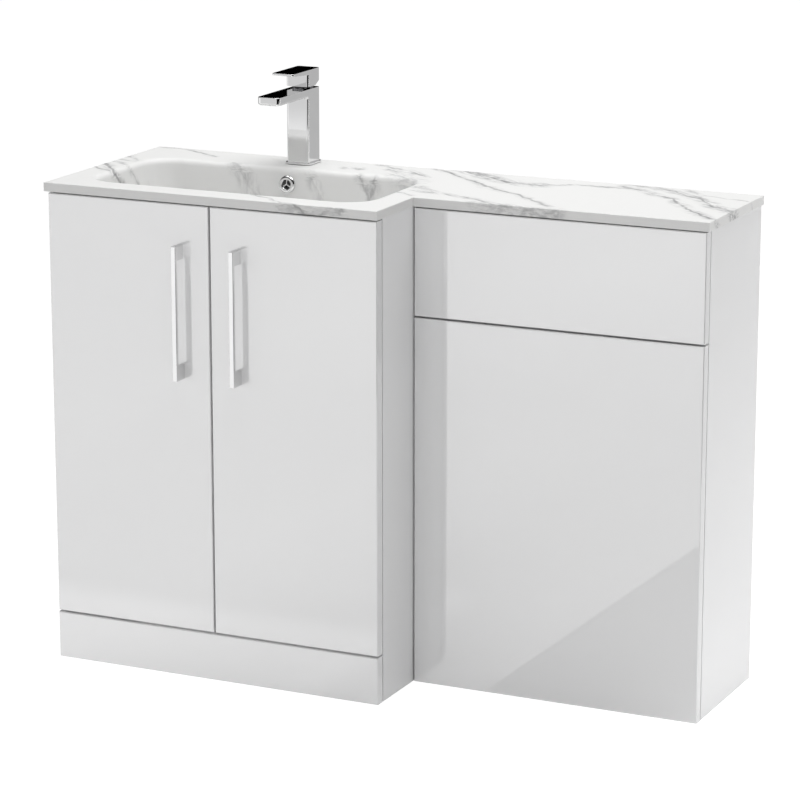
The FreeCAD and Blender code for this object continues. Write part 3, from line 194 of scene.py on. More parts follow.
@dataclass(frozen=True)
class CastMarble:
    """Cast marble under a satin gel coat, in millimetres: white, with thin grey veins in feathered clouds."""

    name: str = "cast_marble_gel_coat"
    ground: str = "#E6E6E5"
    cloud: str = "#A2A2A3"
    vein: str = "#6F6F71"
    roughness: float = 0.5
    shine: float = 0.2
    ior: float = 1.5
    polish_size: float = 18
    polish_spread: float = 0.04
    lean: Place = (0.35, 0.42)
    noise_detail: float = 3.0
    noise_middle: Point = (0.5, 0.5, 0.5)
    sway: float = 30
    sway_size: float = 110
    crumble: float = 13
    crumble_size: float = 20
    break_size: float = 34
    break_span: Place = (0.36, 0.6)
    break_ends: Place = (0.3, 1.0)
    streak_heading: float = -30
    streak: Place = (38, 8)
    streak_in_slab: float = 4
    streak_in_bowl: float = 40
    streak_detail: float = 5.0
    streak_roughness: float = 0.6
    streak_span: Place = (0.4, 0.64)
    veins: tuple[Vein, ...] = (
        Vein(((-46, 211), (13, 179), (107, 96), (175, 53), (278, -28)), 0.7, 14, 0.6, 4.5),
        Vein(((6, 214), (66, 190), (115, 151), (160, 131), (193, 136)), 0.6, 30, 1.0, 4.5),
        Vein(((70, 182), (98, 160)), 0.3, 30, 1.0, 5.0),
        Vein(((128, 150), (186, 128)), 0.3, 26, 1.0, 5.0),
        Vein(((193, 136), (239, 165), (324, 174), (356, 164)), 0.55, 14, 0.7, 4.0),
        Vein(((319, 186), (356, 164), (429, 110), (494, 27), (540, -20)), 0.65, 18, 0.8, 4.0),
        Vein(((333, 203), (410, 179), (468, 138), (504, 89), (552, 60)), 0.6, 24, 1.0, 4.0),
        Vein(((425, 207), (455, 181), (474, 131)), 0.4, 12, 0.6),
        Vein(((467, 167), (542, 145)), 0.45, 8, 0.3),
        Vein(((526, 74), (558, 46)), 0.5, 26, 1.0),
        Vein(((23, 46), (61, 4), (119, -8), (165, -34)), 0.45, 16, 0.7),
        Vein(((150, -40), (212, -50), (262, -50), (300, -46)), 0.2, 20, 0.6),
        Vein(((-126, 191), (-61, 167), (-37, 150), (-7, 126)), 0.6, 14, 0.7),
        Vein(((-99, 167), (-66, 151), (-35, 147)), 0.45, 16, 0.8),
        Vein(((18, 9), (42, 1), (59, -1)), 0.5, 14, 0.8),
        Vein(((14, 39), (30, 31), (50, 18)), 0.5, 14, 0.9),
        Vein(((5, -10), (39, -36)), 0.6, 10, 0.4),
        Vein(((-168, 153), (-139, 151)), 0.3, 16, 0.9),
        Vein(((-60, 128), (-5, 85)), 0.15, 34, 0.6),
        Vein(((-553, 17), (-522, -10), (-503, -37)), 0.75, 14, 0.9, 4.0),
        Vein(((-553, -12), (-527, -32), (-510, -40)), 0.5, 10, 0.6),
        Vein(((-553, 46), (-522, 34)), 0.5, 10, 0.7),
        Vein(((-551, 66), (-511, 50)), 0.3, 8, 0.3),
        Vein(((-522, 25), (-490, 0)), 0.3, 10, 0.6),
        Vein(((-545, 92), (-515, 64)), 0.3, 12, 0.6),
        Vein(((-544, 198), (-495, 196), (-418, 155)), 0.5, 10, 0.5),
        Vein(((-350, 104), (-325, 84)), 0.1, 26, 0.7),
        Vein(((-214, 104), (-198, 84)), 0.15, 18, 0.55),
        Vein(((-122, 108), (-108, 84)), 0.4, 16, 0.8),
        Vein(((-96, 106), (-113, 88)), 0.35, 14, 0.8),
        Vein(((-185, -142), (-152, -150), (-107, -172), (-78, -184)), 0.5, 10, 0.5),
        Vein(((-119, -178), (-64, -185), (-10, -187)), 0.3, 12, 0.5),
    )

    def material(self) -> Material:
        """Builds the material.

        Returns:
            The material.
        """
        material, tree = empty_material(self.name)
        place = add_node(tree, "TexCoord").outputs["Object"]
        bent = self.bend(tree, place, self.sway, self.sway_size)
        broken = self.bend(tree, bent, self.crumble, self.crumble_size)
        height = add_node(tree, "SeparateXYZ", {0: broken}).outputs["Z"]
        flat = calculate_vector(tree, "MULTIPLY_ADD", height, (*self.lean, -1.0), broken)
        breaks = noise(tree, place, self.break_size, self.noise_detail).outputs["Fac"]
        presence = ranged(tree, breaks, self.break_span, self.break_ends)
        lines: Socket | float = 0.0
        clouds: Socket | float = 0.0
        for vein in self.veins:
            apart = self.distance(tree, flat, vein.path)
            lines = self.widen(tree, lines, apart, vein.line, vein.line_strength)
            clouds = self.widen(tree, clouds, apart, vein.feather, vein.feather_strength)
        lines = calculate(tree, "MULTIPLY", lines, presence)
        clouds = calculate(tree, "MULTIPLY", clouds, self.streaks(tree, bent))
        clouded = mix_colours(tree, clouds, linear(self.ground), linear(self.cloud))
        colour = mix_colours(tree, lines, clouded, linear(self.vein))
        # Hand polishing leaves the gel coat a little duller in patches about a finger wide
        polish = noise(tree, place, self.polish_size).outputs["Fac"]
        dullness = (self.roughness - self.polish_spread, self.roughness + self.polish_spread)
        gloss = ranged(tree, polish, (0.0, 1.0), dullness)
        shader = add_node(tree, "BsdfPrincipled", {"Base Color": colour, "Roughness": gloss, "IOR": self.ior,
                                                   "Specular IOR Level": self.shine})
        add_node(tree, "OutputMaterial", {"Surface": shader.outputs[0]})
        return material

    def streaks(self, tree: Tree, place: Socket) -> Socket:
        """Draws the clouds' short brushed streaks, which lie flat in the slab and run down the bowl's walls.

        Args:
            tree: Node tree of the material.
            place: Bent place.

        Returns:
            Streaks from 0 to 1.
        """
        heading = (0, 0, math.radians(-self.streak_heading))
        turned = add_node(tree, "Mapping", {"Vector": place, "Rotation": heading}).outputs[0]
        height = add_node(tree, "SeparateXYZ", {0: place}).outputs["Z"]
        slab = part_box("vanity_side_left")[1].z
        upper = calculate(tree, "MAXIMUM", height, slab)
        lower = calculate(tree, "MINIMUM", height, slab)
        upper = calculate(tree, "MULTIPLY", upper, per_metre(self.streak_in_slab))
        layers = calculate(tree, "MULTIPLY_ADD", lower, per_metre(self.streak_in_bowl), upper)
        stacked = add_node(tree, "CombineXYZ", {"Z": layers}).outputs[0]
        scales = (per_metre(self.streak[0]), per_metre(self.streak[1]), 0.0)
        drawn = calculate_vector(tree, "MULTIPLY_ADD", turned, scales, stacked)
        brushed = add_node(tree, "TexNoise", {"Vector": drawn, "Scale": 1.0, "Detail": self.streak_detail,
                                              "Roughness": self.streak_roughness})
        return ranged(tree, brushed.outputs["Fac"], self.streak_span, (0.0, 1.0))

    def bend(self, tree: Tree, place: Socket, amount: float, size: float) -> Socket:
        """Pushes a place about by soft noise, so that the sheets bend and break up.

        Args:
            tree: Node tree of the material.
            place: Place to push.
            amount: Spread of the push, in millimetres.
            size: Size of one bend, in millimetres.

        Returns:
            The pushed place.
        """
        push = noise(tree, place, size, self.noise_detail).outputs["Color"]
        centred = calculate_vector(tree, "SUBTRACT", push, self.noise_middle)
        spread = (amount * MM, amount * MM, amount * MM)
        return calculate_vector(tree, "MULTIPLY_ADD", centred, spread, place)

    def distance(self, tree: Tree, flat: Socket, path: Sequence[Place]) -> Socket:
        """Measures how far a place is from a vein.

        Args:
            tree: Node tree of the material.
            flat: Place on the plan, carried along the lean of the sheets.
            path: Vein's way across the worktop.

        Returns:
            The distance from the nearest of the path's straight runs.
        """
        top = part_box("basin_worktop")[1].z
        spots = [Vector((x * MM + self.lean[0] * top, y * MM + self.lean[1] * top, 0.0)) for x, y in path]
        nearest: Socket | float = 1.0
        for begin, end in zip(spots, spots[1:]):
            run = end - begin
            pace = run / run.length_squared
            share = calculate_vector(tree, "DOT_PRODUCT", flat, pace)
            share = calculate(tree, "SUBTRACT", share, begin.dot(pace), use_clamp=True)
            foot = calculate_vector(tree, "MULTIPLY_ADD", share, run, begin)
            apart = calculate_vector(tree, "DISTANCE", flat, foot)
            nearest = calculate(tree, "MINIMUM", nearest, apart)
        return nearest

    @staticmethod
    def widen(tree: Tree, so_far: Socket | float, apart: Socket, width: float, strength: float) -> Socket:
        """Adds a vein's soft band, its half width in millimetres, to the bands so far."""
        band = ranged(tree, apart, (0.0, width * MM), (strength, 0.0), interpolation_type="SMOOTHSTEP")
        return calculate(tree, "MAXIMUM", so_far, band)


@dataclass(frozen=True)
class Skin:
    """A surface of two close shades in soft patches with a fine relief, sized in millimetres."""

    name: str
    light: str
    dark: str
    patch: float
    roughness: Place
    relief_size: float
    relief_depth: float
    patch_detail: ClassVar[float] = 3.0
    patch_span: ClassVar[Place] = (0.3, 0.7)

    def nature(self) -> dict[str, float]:
        """Gives the values that are the same all over the surface, by the shader's input."""
        return {}

    def material(self) -> Material:
        """Builds the material.

        Returns:
            The material.
        """
        material, tree = empty_material(self.name)
        place = add_node(tree, "TexCoord").outputs["Object"]
        patches = noise(tree, place, self.patch, self.patch_detail).outputs["Fac"]
        colour = mix_colours(tree, patches, linear(self.light), linear(self.dark))
        gloss = ranged(tree, patches, self.patch_span, self.roughness)
        grain = noise(tree, place, self.relief_size).outputs["Fac"]
        relief = add_node(tree, "Bump", {"Height": grain, "Strength": 1.0,
                                         "Distance": self.relief_depth * MM}).outputs[0]
        shader = add_node(tree, "BsdfPrincipled", {"Base Color": colour, "Roughness": gloss, "Normal": relief,
                                                   **self.nature()})
        add_node(tree, "OutputMaterial", {"Surface": shader.outputs[0]})
        return material


@dataclass(frozen=True)
class Coating(Skin):
    """A sprayed, faced or moulded surface."""

    ior: float = 1.5
    see_through: float = 0.0

    def nature(self) -> dict[str, float]:
        """Gives how the surface bends light and how much it lets through."""
        return {"IOR": self.ior, "Transmission Weight": self.see_through}


@dataclass(frozen=True)
class Metal(Skin):
    """A plated or turned metal, with lines or grit left by its making."""

    patch_detail: ClassVar[float] = 4.0

    def nature(self) -> dict[str, float]:
        """Gives that the surface is metal."""
        return {"Metallic": 1.0}


class Finish(Enum):
    """The finishes of the unit."""

    MARBLE = CastMarble()
    # Sprayed and buffed lacquer: bright, with mirrored neighbours and hardly any texture
    LACQUER = Coating("gloss_white_lacquer", "#EEEEEE", "#EBEBEC", 240, (0.02, 0.04), 30, 0.002, 3.2)
    # Melamine facing: a satin white skin with a fine pearl grain, drawn at 2 mm so that it shows
    BOARD = Coating("white_melamine_facing", "#F1F1F1", "#EEEEEF", 160, (0.08, 0.14), 2, 0.004, 1.7)
    # Bright chrome plate: mirror sharp, with faint wiping haze
    CHROME = Metal("bright_chrome_plate", "#E8E8E8", "#DFDFE0", 26, (0.025, 0.05), 9, 0.0004)
    # Chrome darkened as painted shade, for the dome recessed under the lever: a dark mirror with faint wiping
    # haze
    BLACK_NICKEL = Metal("black_nickel_plate", "#7C7C7E", "#6E6E70", 26, (0.06, 0.1), 9, 0.0004)
    # Zinc plated steel: pale grey with a cloudy passivated skin
    ZINC = Metal("zinc_plated_steel", "#C3C7CB", "#A6ABB1", 5, (0.26, 0.4), 1.2, 0.004)
    # Nickel plated hinge steel: warmer and brighter than zinc, with faint press marks
    NICKEL = Metal("nickel_plated_steel", "#D3D0CA", "#BFBBB4", 9, (0.16, 0.26), 1.6, 0.003)
    # Turned brass: yellow, with fine tool marks drawn at 1 mm so that they show
    BRASS = Metal("turned_brass", "#C9AC69", "#B4924C", 7, (0.2, 0.32), 1, 0.004)
    # Moulded ABS: mid grey with a spark eroded skin, drawn at 1.5 mm so that it shows
    GREY_PLASTIC = Coating("moulded_grey_abs", "#8E9195", "#83868B", 20, (0.4, 0.52), 1.5, 0.012)
    # Moulded acetal: white, smooth and slightly waxy
    WHITE_PLASTIC = Coating("moulded_white_acetal", "#EDEDEA", "#E4E4E1", 18, (0.3, 0.4), 1.5, 0.008, 1.48)
    # Soft polyurethane buffer: clear and a little milky
    BUFFER = Coating("clear_polyurethane", "#EEF0F1", "#E2E5E7", 4, (0.2, 0.3), 2, 0.006, 1.49, 0.6)
    # EPDM rubber: near black, dull, with a dusty bloom
    RUBBER = Coating("black_epdm_rubber", "#2C2C2D", "#3A3A3B", 6, (0.6, 0.75), 1, 0.02, 1.52)


class Palette(dict[Finish, Material]):
    """The finishes as Blender materials, each built once."""

    def __missing__(self, finish: Finish) -> Material:
        """Builds a finish's material on first use."""
        self[finish] = finish.value.material()
        return self[finish]

    def dress(self, finish: Finish, *nodes: str) -> None:
        """Puts a finish on CAD nodes.

        Args:
            finish: Finish to use.
            nodes: Names of the nodes.
        """
        for name in nodes:
            mesh = frame["nodes"][name].data
            mesh.materials.clear()
            mesh.materials.append(self[finish])
            report.info("%s is dressed in %s", name, self[finish].name)


# Handwork on meshes
def start_piece(name: str) -> Piece:
    """Names the piece that was just added.

    Args:
        name: Name of the piece and its mesh.

    Returns:
        The piece.
    """
    piece = bpy.context.view_layer.objects.active
    piece.name = name
    piece.data.name = name
    return piece


def clear_selection() -> None:
    """Leaves nothing selected, so that the next operator touches only its own piece."""
    bpy.ops.object.select_all(action="DESELECT")


def settle() -> None:
    """Moves the active piece's place, turn and scale into its mesh."""
    bpy.ops.object.transform_apply(location=True, rotation=True, scale=True)


def pick(piece: Piece) -> None:
    """Selects one piece alone and makes it active.

    Args:
        piece: Piece to select.
    """
    clear_selection()
    piece.select_set(True)
    bpy.context.view_layer.objects.active = piece


def edit_faces(piece: Piece, test: Callable[[bpy.types.MeshPolygon], bool]) -> None:
    """Opens a piece for editing with some of its faces selected.

    Args:
        piece: Piece to edit.
        test: Says whether a face is wanted.
    """
    pick(piece)
    bpy.ops.object.mode_set(mode="EDIT")
    bpy.ops.mesh.select_mode(type="FACE")
    bpy.ops.mesh.select_all(action="DESELECT")
    bpy.ops.object.mode_set(mode="OBJECT")
    for face in piece.data.polygons:
        face.select = test(face)
    bpy.ops.object.mode_set(mode="EDIT")


def close_edit() -> None:
    """Goes back to object mode."""
    bpy.ops.object.mode_set(mode="OBJECT")


def subtract(piece: Piece, cutter: Piece) -> None:
    """Cuts one piece out of another and throws the cutter away.

    Args:
        piece: Piece that is cut.
        cutter: Closed piece that is cut out.
    """
    pick(piece)
    cutting = piece.modifiers.new("cut", "BOOLEAN")
    cutting.operation = "DIFFERENCE"
    cutting.solver = "EXACT"
    cutting.object = cutter
    bpy.ops.object.modifier_apply(modifier=cutting.name)
    bpy.data.objects.remove(cutter)


def repeat(name: str, model: Piece, places: Sequence[Matrix]) -> Piece:
    """Copies a piece to several places and joins the copies.

    Args:
        name: Name of the joined piece.
        model: Piece at the origin that is copied, and thrown away after.
        places: Where each copy goes.

    Returns:
        The joined piece.
    """
    copies = []
    for place in places:
        copy = model.copy()
        copy.data = model.data.copy()
        copy.data.transform(place)
        bpy.context.scene.collection.objects.link(copy)
        copies.append(copy)
    clear_selection()
    for copy in copies:
        copy.select_set(True)
    bpy.context.view_layer.objects.active = copies[0]
    bpy.ops.object.join()
    bpy.data.objects.remove(model)
    return start_piece(name)


def finish_piece(piece: Piece, material: Material, node: str) -> None:
    """Settles a piece's place in its mesh, smooths and dresses it, and puts it on a node's body.

    Args:
        piece: Modelled piece.
        material: Material that it wears.
        node: CAD node whose body it moves with.
    """
    pick(piece)
    settle()
    bpy.ops.object.shade_smooth_by_angle(angle=math.radians(SHARP_FROM))
    piece.data.materials.clear()
    piece.data.materials.append(material)
    bodies = frame["record"]["behaviour"]["bodies"]
    body = next(body for body, nodes in bodies.items() if node in nodes)
    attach(piece, body)
    report.info("%s is modelled with %d faces and rides on %s", piece.name, len(piece.data.polygons), body)


def axis_between(low: Vector, high: Vector) -> Place:
    """Gives the plan place, in millimetres, of the upright axis midway between two corners."""
    return ((low.x + high.x) / 2 / MM, (low.y + high.y) / 2 / MM)


# Fasteners
@dataclass(frozen=True)
class ScrewHead:
    """A cross-recess screw head, in millimetres.

    The crown's rounding and the recess's depth are shares of its height, and the cross's blade and arms are
    shares of its radius.
    """

    radius: float
    height: float
    crown: float = 0.7
    recess: float = 0.62
    blade: float = 0.22
    arm: float = 0.42
    sides: int = 28
    crown_steps: int = 4

    def model(self) -> Piece:
        """Models one head at the origin, looking up.

        Returns:
            The head.
        """
        clear_selection()
        bpy.ops.mesh.primitive_cylinder_add(vertices=self.sides, radius=self.radius * MM,
                                            depth=self.height * MM, location=(0, 0, self.height * MM / 2))
        head = start_piece("screw_head")
        edit_faces(head, lambda face: face.normal.z > LOOKS_ALONG)
        bpy.ops.mesh.bevel(offset=self.height * self.crown * MM, segments=self.crown_steps)
        close_edit()
        settle()
        subtract(head, self.cross())
        return head

    def cross(self) -> Piece:
        """Models the cross that is cut into the head.

        Returns:
            The cutter.
        """
        clear_selection()
        blade = self.radius * self.blade * MM
        deep = self.height * self.recess * MM
        bpy.ops.mesh.primitive_cube_add(size=1, location=(0, 0, self.height * MM),
                                        scale=(blade, blade, 2 * deep))
        cutter = start_piece("cross_recess")
        settle()
        edit_faces(cutter, lambda face: abs(face.normal.z) < LIES_ALONG)
        bpy.ops.mesh.extrude_faces_move(TRANSFORM_OT_shrink_fatten={"value": self.radius * self.arm * MM})
        close_edit()
        return cutter


@dataclass(frozen=True)
class AngleBracket:
    """An angle bracket with one screw through each leg, in millimetres.

    The front hole is measured from the side board, and the side hole from the front's back.
    """

    front: float = 12
    side: float = 18
    sheet: float = 2
    head: ScrewHead = ScrewHead(3.8, 2.2)

    def screws(self, name: str, node: str, heights: Sequence[float]) -> Piece:
        """Models the wood screws of a set of brackets.

        Args:
            name: Name of the piece.
            node: CAD node of the brackets.
            heights: Heights of the bracket middles, in millimetres.

        Returns:
            The screws.
        """
        low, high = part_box(node)
        places = []
        for hand, face, facing in ((Side.LEFT, low.x, Facing.RIGHT), (Side.RIGHT, high.x, Facing.LEFT)):
            for height in heights:
                on_front = (face + hand.value * self.front * MM, low.y + self.sheet * MM, height * MM)
                on_side = (face + hand.value * self.sheet * MM, low.y + self.side * MM, height * MM)
                places.append(Facing.BACK.at(on_front))
                places.append(facing.at(on_side))
        return repeat(name, self.head.model(), places)


@dataclass(frozen=True)
class Thread:
    """A raised screw thread round an upright rod, in millimetres.

    The ridge's size and how deep it sits in the rod are shares of the pitch.
    """

    radius: float
    pitch: float
    low: float
    high: float
    axis: Place
    steps: int = 40
    ridge: float = 0.5
    sink: float = 0.16

    def model(self, name: str) -> Piece:
        """Models the ridge as one closed strip that winds up the rod.

        Args:
            name: Name of the piece.

        Returns:
            The thread.
        """
        clear_selection()
        foot = (self.axis[0] * MM, self.axis[1] * MM, (self.low + self.pitch / 2) * MM)
        bpy.ops.mesh.primitive_circle_add(vertices=3, radius=self.pitch * self.ridge * MM,
                                          fill_type="NOTHING", location=foot,
                                          rotation=(math.radians(90), 0, math.radians(90)))
        ridge = start_piece(name)
        bpy.ops.object.transform_apply(location=False, rotation=True, scale=True)
        pick(ridge)
        bpy.ops.object.mode_set(mode="EDIT")
        bpy.ops.mesh.select_all(action="SELECT")
        bpy.ops.transform.rotate(value=math.radians(90), orient_axis="Z", center_override=foot)
        bpy.ops.transform.translate(value=((self.radius - self.pitch * self.sink) * MM, 0, 0))
        close_edit()
        winding = ridge.modifiers.new("winding", "SCREW")
        winding.axis = "Z"
        winding.screw_offset = self.pitch * MM
        winding.iterations = int((self.high - self.low) / self.pitch) - 1
        winding.steps = self.steps
        winding.render_steps = self.steps
        bpy.ops.object.modifier_apply(modifier=winding.name)
        bpy.ops.object.mode_set(mode="EDIT")
        bpy.ops.mesh.select_all(action="SELECT")
        bpy.ops.mesh.fill_holes(sides=4)
        bpy.ops.mesh.select_all(action="SELECT")
        bpy.ops.mesh.normals_make_consistent(inside=False)
        close_edit()
        return ridge


# Sub-assemblies
@dataclass
class Worktop:
    """The cast worktop with its overflow trim and waste, in millimetres."""

    tail_radius: float = 20.95
    tail_free: float = 46
    thread_pitch: float = 2.3
    thread_end: float = 1

    def build(self, palette: Palette) -> None:
        """Dresses the casting and its fittings, and adds the waste's thread.

        Args:
            palette: Materials to use.
        """
        palette.dress(Finish.MARBLE, "basin_worktop")
        palette.dress(Finish.CHROME, "overflow_trim", "waste_body", "waste_plug")
        palette.dress(Finish.RUBBER, "waste_washer")
        palette.dress(Finish.BRASS, "waste_nut")
        low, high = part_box("waste_body")
        foot = low.z / MM
        thread = Thread(self.tail_radius, self.thread_pitch, foot + self.thread_end,
                        foot + self.tail_free - self.thread_end, axis_between(low, high))
        winding = thread.model("waste_tail_thread")
        finish_piece(winding, palette[Finish.CHROME], "waste_body")


@dataclass
class Tap:
    """The mixer tap, in millimetres.

    The cells' flare is a share of their radius, and the height of a row a share of the cell pitch.
    """

    stud_radius: float = 4
    stud_pitch: float = 1.25
    stud_end: float = 0.5
    stud_steps: int = 24
    outlet_radius: float = 8.9
    outlet_depth: float = 1.6
    outlet_recess: float = 0.4
    outlet_bevel: float = 0.4
    outlet_rim: float = 1.5
    outlet_sides: int = 48
    cell_radius: float = 1.05
    cell_flare: float = 1.12
    cell_pitch: float = 2.3
    row_height: float = 0.866
    rows_beside_middle: int = 4

    def build(self, palette: Palette) -> None:
        """Dresses the tap and adds the honeycomb of its outlet and the stud's thread.

        Args:
            palette: Materials to use.
        """
        palette.dress(Finish.CHROME, "tap_body", "tap_base_plate", "tap_lever", "tap_aerator")
        # The dome wears chrome darkened as painted shade, for the shade it sits in under the lever
        palette.dress(Finish.BLACK_NICKEL, "tap_dome")
        palette.dress(Finish.RUBBER, "tap_seal")
        palette.dress(Finish.BRASS, "tap_stud", "tap_nut", "tap_rotor", "tap_stem")
        palette.dress(Finish.ZINC, "tap_clamp", "tap_pin")
        palette.dress(Finish.WHITE_PLASTIC, "tap_cartridge")
        insert = self.honeycomb()
        finish_piece(insert, palette[Finish.WHITE_PLASTIC], "tap_aerator")
        low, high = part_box("tap_stud")
        nut_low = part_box("tap_nut")[0].z / MM
        thread = Thread(self.stud_radius, self.stud_pitch, low.z / MM + self.stud_end, nut_low,
                        axis_between(low, high), self.stud_steps)
        winding = thread.model("tap_stud_thread")
        finish_piece(winding, palette[Finish.BRASS], "tap_stud")

    def honeycomb(self) -> Piece:
        """Models the insert that splits the jet: a disc with rows of six-sided cells.

        Returns:
            The insert.
        """
        low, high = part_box("tap_aerator")
        middle = Vector(((low.x + high.x) / 2, (low.y + high.y) / 2, low.z))
        centre = middle + Vector((0, 0, (self.outlet_recess + self.outlet_depth / 2) * MM))
        clear_selection()
        bpy.ops.mesh.primitive_cylinder_add(vertices=self.outlet_sides, radius=self.outlet_radius * MM,
                                            depth=self.outlet_depth * MM, location=centre)
        disc = start_piece("tap_outlet_honeycomb")
        edit_faces(disc, lambda face: face.normal.z < -LOOKS_ALONG)
        bpy.ops.mesh.bevel(offset=self.outlet_bevel * MM, segments=2)
        close_edit()
        settle()
        clear_selection()
        bpy.ops.mesh.primitive_cylinder_add(vertices=6, radius=self.cell_radius * MM,
                                            depth=3 * self.outlet_depth * MM)
        cell = start_piece("outlet_cell")
        edit_faces(cell, lambda face: face.normal.z < -LOOKS_ALONG)
        bpy.ops.transform.resize(value=(self.cell_flare, self.cell_flare, 1))
        close_edit()
        rows = range(-self.rows_beside_middle, self.rows_beside_middle + 1)
        spots = [Vector(((column + row / 2) * self.cell_pitch, row * self.cell_pitch * self.row_height, 0))
                 for row in rows for column in rows]
        inside = [spot for spot in spots if spot.length < self.outlet_radius - self.outlet_rim]
        places = [Matrix.Translation(centre + spot * MM) for spot in inside]
        subtract(disc, repeat("outlet_cells", cell, places))
        return disc


@dataclass
class Cupboard:
    """The vanity carcass with its shelf, plinth and the fixed halves of the hinges, in millimetres."""

    plate_sheet: float = 2
    plate_head: ScrewHead = ScrewHead(4.2, 1.8)
    plate_holes: tuple[Place, Place] = ((40, -16), (40, 16))
    arm_reach: float = 32.6
    arm_head: ScrewHead = ScrewHead(3.6, 1.6)
    arm_holes: tuple[Place, Place] = ((30, 0), (50, 0))
    bracket: AngleBracket = AngleBracket()

    def build(self, palette: Palette) -> None:
        """Dresses the carcass and adds its screws.

        Args:
            palette: Materials to use.
        """
        palette.dress(Finish.BOARD, "vanity_side_left", "vanity_side_right", "vanity_base", "vanity_shelf")
        palette.dress(Finish.BOARD, "vanity_front_rail", "vanity_upper_back_rail", "vanity_lower_back_rail")
        palette.dress(Finish.LACQUER, "vanity_plinth")
        palette.dress(Finish.ZINC, "shelf_pins", "plinth_brackets", "joining_bolts")
        palette.dress(Finish.NICKEL, "hinge_plates", "hinge_arms")
        palette.dress(Finish.BUFFER, "door_buffers")
        zinc = palette[Finish.ZINC]
        low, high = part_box("hinge_plates")
        on_plates = (low.x + self.plate_sheet * MM, high.x - self.plate_sheet * MM)
        screws = self.hinge_screws("hinge_plate_screws", self.plate_head, on_plates, self.plate_holes)
        finish_piece(screws, zinc, "hinge_plates")
        reach = self.arm_reach * MM
        on_arms = (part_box("vanity_side_left")[0].x + reach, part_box("vanity_side_right")[1].x - reach)
        screws = self.hinge_screws("hinge_arm_screws", self.arm_head, on_arms, self.arm_holes)
        finish_piece(screws, zinc, "hinge_arms")
        low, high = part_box("plinth_brackets")
        middle = (low.z + high.z) / 2 / MM
        screws = self.bracket.screws("plinth_bracket_screws", "plinth_brackets", [middle])
        finish_piece(screws, zinc, "plinth_brackets")

    @staticmethod
    def hinge_screws(name: str, head: ScrewHead, faces: Place, holes: Sequence[Place]) -> Piece:
        """Models the screws of one kind on all four hinges.

        Args:
            name: Name of the piece.
            head: Head of one screw.
            faces: Where the heads sit on the left and on the right, in metres.
            holes: How far each screw is behind the doors and above its hinge, in millimetres.

        Returns:
            The screws.
        """
        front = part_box("door_left")[1].y
        places = []
        for face, facing in zip(faces, (Facing.RIGHT, Facing.LEFT)):
            for height in HINGE_HEIGHTS:
                for depth, rise in holes:
                    places.append(facing.at((face, front + depth * MM, (height + rise) * MM)))
        return repeat(name, head.model(), places)


@dataclass
class DoorPair:
    """The two doors with their handles and hinge cups, in millimetres."""

    cup_inset: float = 20.5
    cup_spread: float = 23
    lug_sheet: float = 1
    cup_head: ScrewHead = ScrewHead(3.6, 0.7, 0.6, 0.8)

    def build(self, palette: Palette) -> None:
        """Dresses both doors and adds the cup screws.

        Args:
            palette: Materials to use.
        """
        for side in Side:
            hand = side.name.lower()
            palette.dress(Finish.LACQUER, "door_" + hand)
            palette.dress(Finish.CHROME, "handle_" + hand)
            palette.dress(Finish.ZINC, "handle_screws_" + hand)
            palette.dress(Finish.NICKEL, "hinge_cups_" + hand, "hinge_pins_" + hand)
            screws = self.cup_screws(side, "hinge_cup_screws_" + hand)
            finish_piece(screws, palette[Finish.ZINC], "door_" + hand)

    def cup_screws(self, side: Side, name: str) -> Piece:
        """Models the low countersunk screws in the lugs of one door's cups.

        Args:
            side: Hand of the door.
            name: Name of the piece.

        Returns:
            The screws.
        """
        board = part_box("vanity_side_left")[0].x if side is Side.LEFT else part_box("vanity_side_right")[1].x
        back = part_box("door_left")[1].y + self.lug_sheet * MM
        across = board + side.value * self.cup_inset * MM
        places = []
        for height in HINGE_HEIGHTS:
            for spread in (-self.cup_spread, self.cup_spread):
                places.append(Facing.BACK.at((across, back, (height + spread) * MM)))
        return repeat(name, self.cup_head.model(), places)


@dataclass
class ToiletUnit:
    """The toilet unit's carcass and front panels, in millimetres."""

    bracket_heights: Point = (153.5, 337.7, 521.9)
    bracket: AngleBracket = AngleBracket()

    def build(self, palette: Palette) -> None:
        """Dresses the unit and adds the bracket screws.

        Args:
            palette: Materials to use.
        """
        palette.dress(Finish.BOARD, "wc_side_left", "wc_side_right", "wc_back_rail")
        palette.dress(Finish.BOARD, "wc_top_rail", "wc_middle_rail", "wc_bottom_rail")
        palette.dress(Finish.LACQUER, "wc_front_panel", "wc_access_panel")
        palette.dress(Finish.GREY_PLASTIC, "panel_sockets")
        palette.dress(Finish.WHITE_PLASTIC, "panel_studs")
        palette.dress(Finish.ZINC, "panel_brackets")
        screws = self.bracket.screws("panel_bracket_screws", "panel_brackets", self.bracket_heights)
        finish_piece(screws, palette[Finish.ZINC], "panel_brackets")


# Stage
@dataclass(frozen=True)
class Fade:
    """A change of brightness over a stretch, from its first to its last."""

    start: float
    stop: float
    first: float = 0.0
    last: float = 0.0

    def draw(self, tree: Tree, along: Socket, first: Socket | None = None,
             last: Socket | float | None = None, level: float = 1.0) -> Socket:
        """Draws the fade along a measure, between its own brightnesses times a level or those given."""
        ends = (self.first * level if first is None else first, self.last * level if last is None else last)
        return ranged(tree, along, (self.start, self.stop), ends)


@dataclass(frozen=True)
class Flag:
    """A folding flag that only mirrors see: its upright edges on the floor, in metres, and its brightness."""

    name: str
    edges: tuple[Place, ...]
    grey: float


@dataclass(frozen=True)
class Lamp:
    """A square softbox: where it hangs and how wide it is, in metres, and its power in watts."""

    name: str
    place: Point
    size: float
    power: float


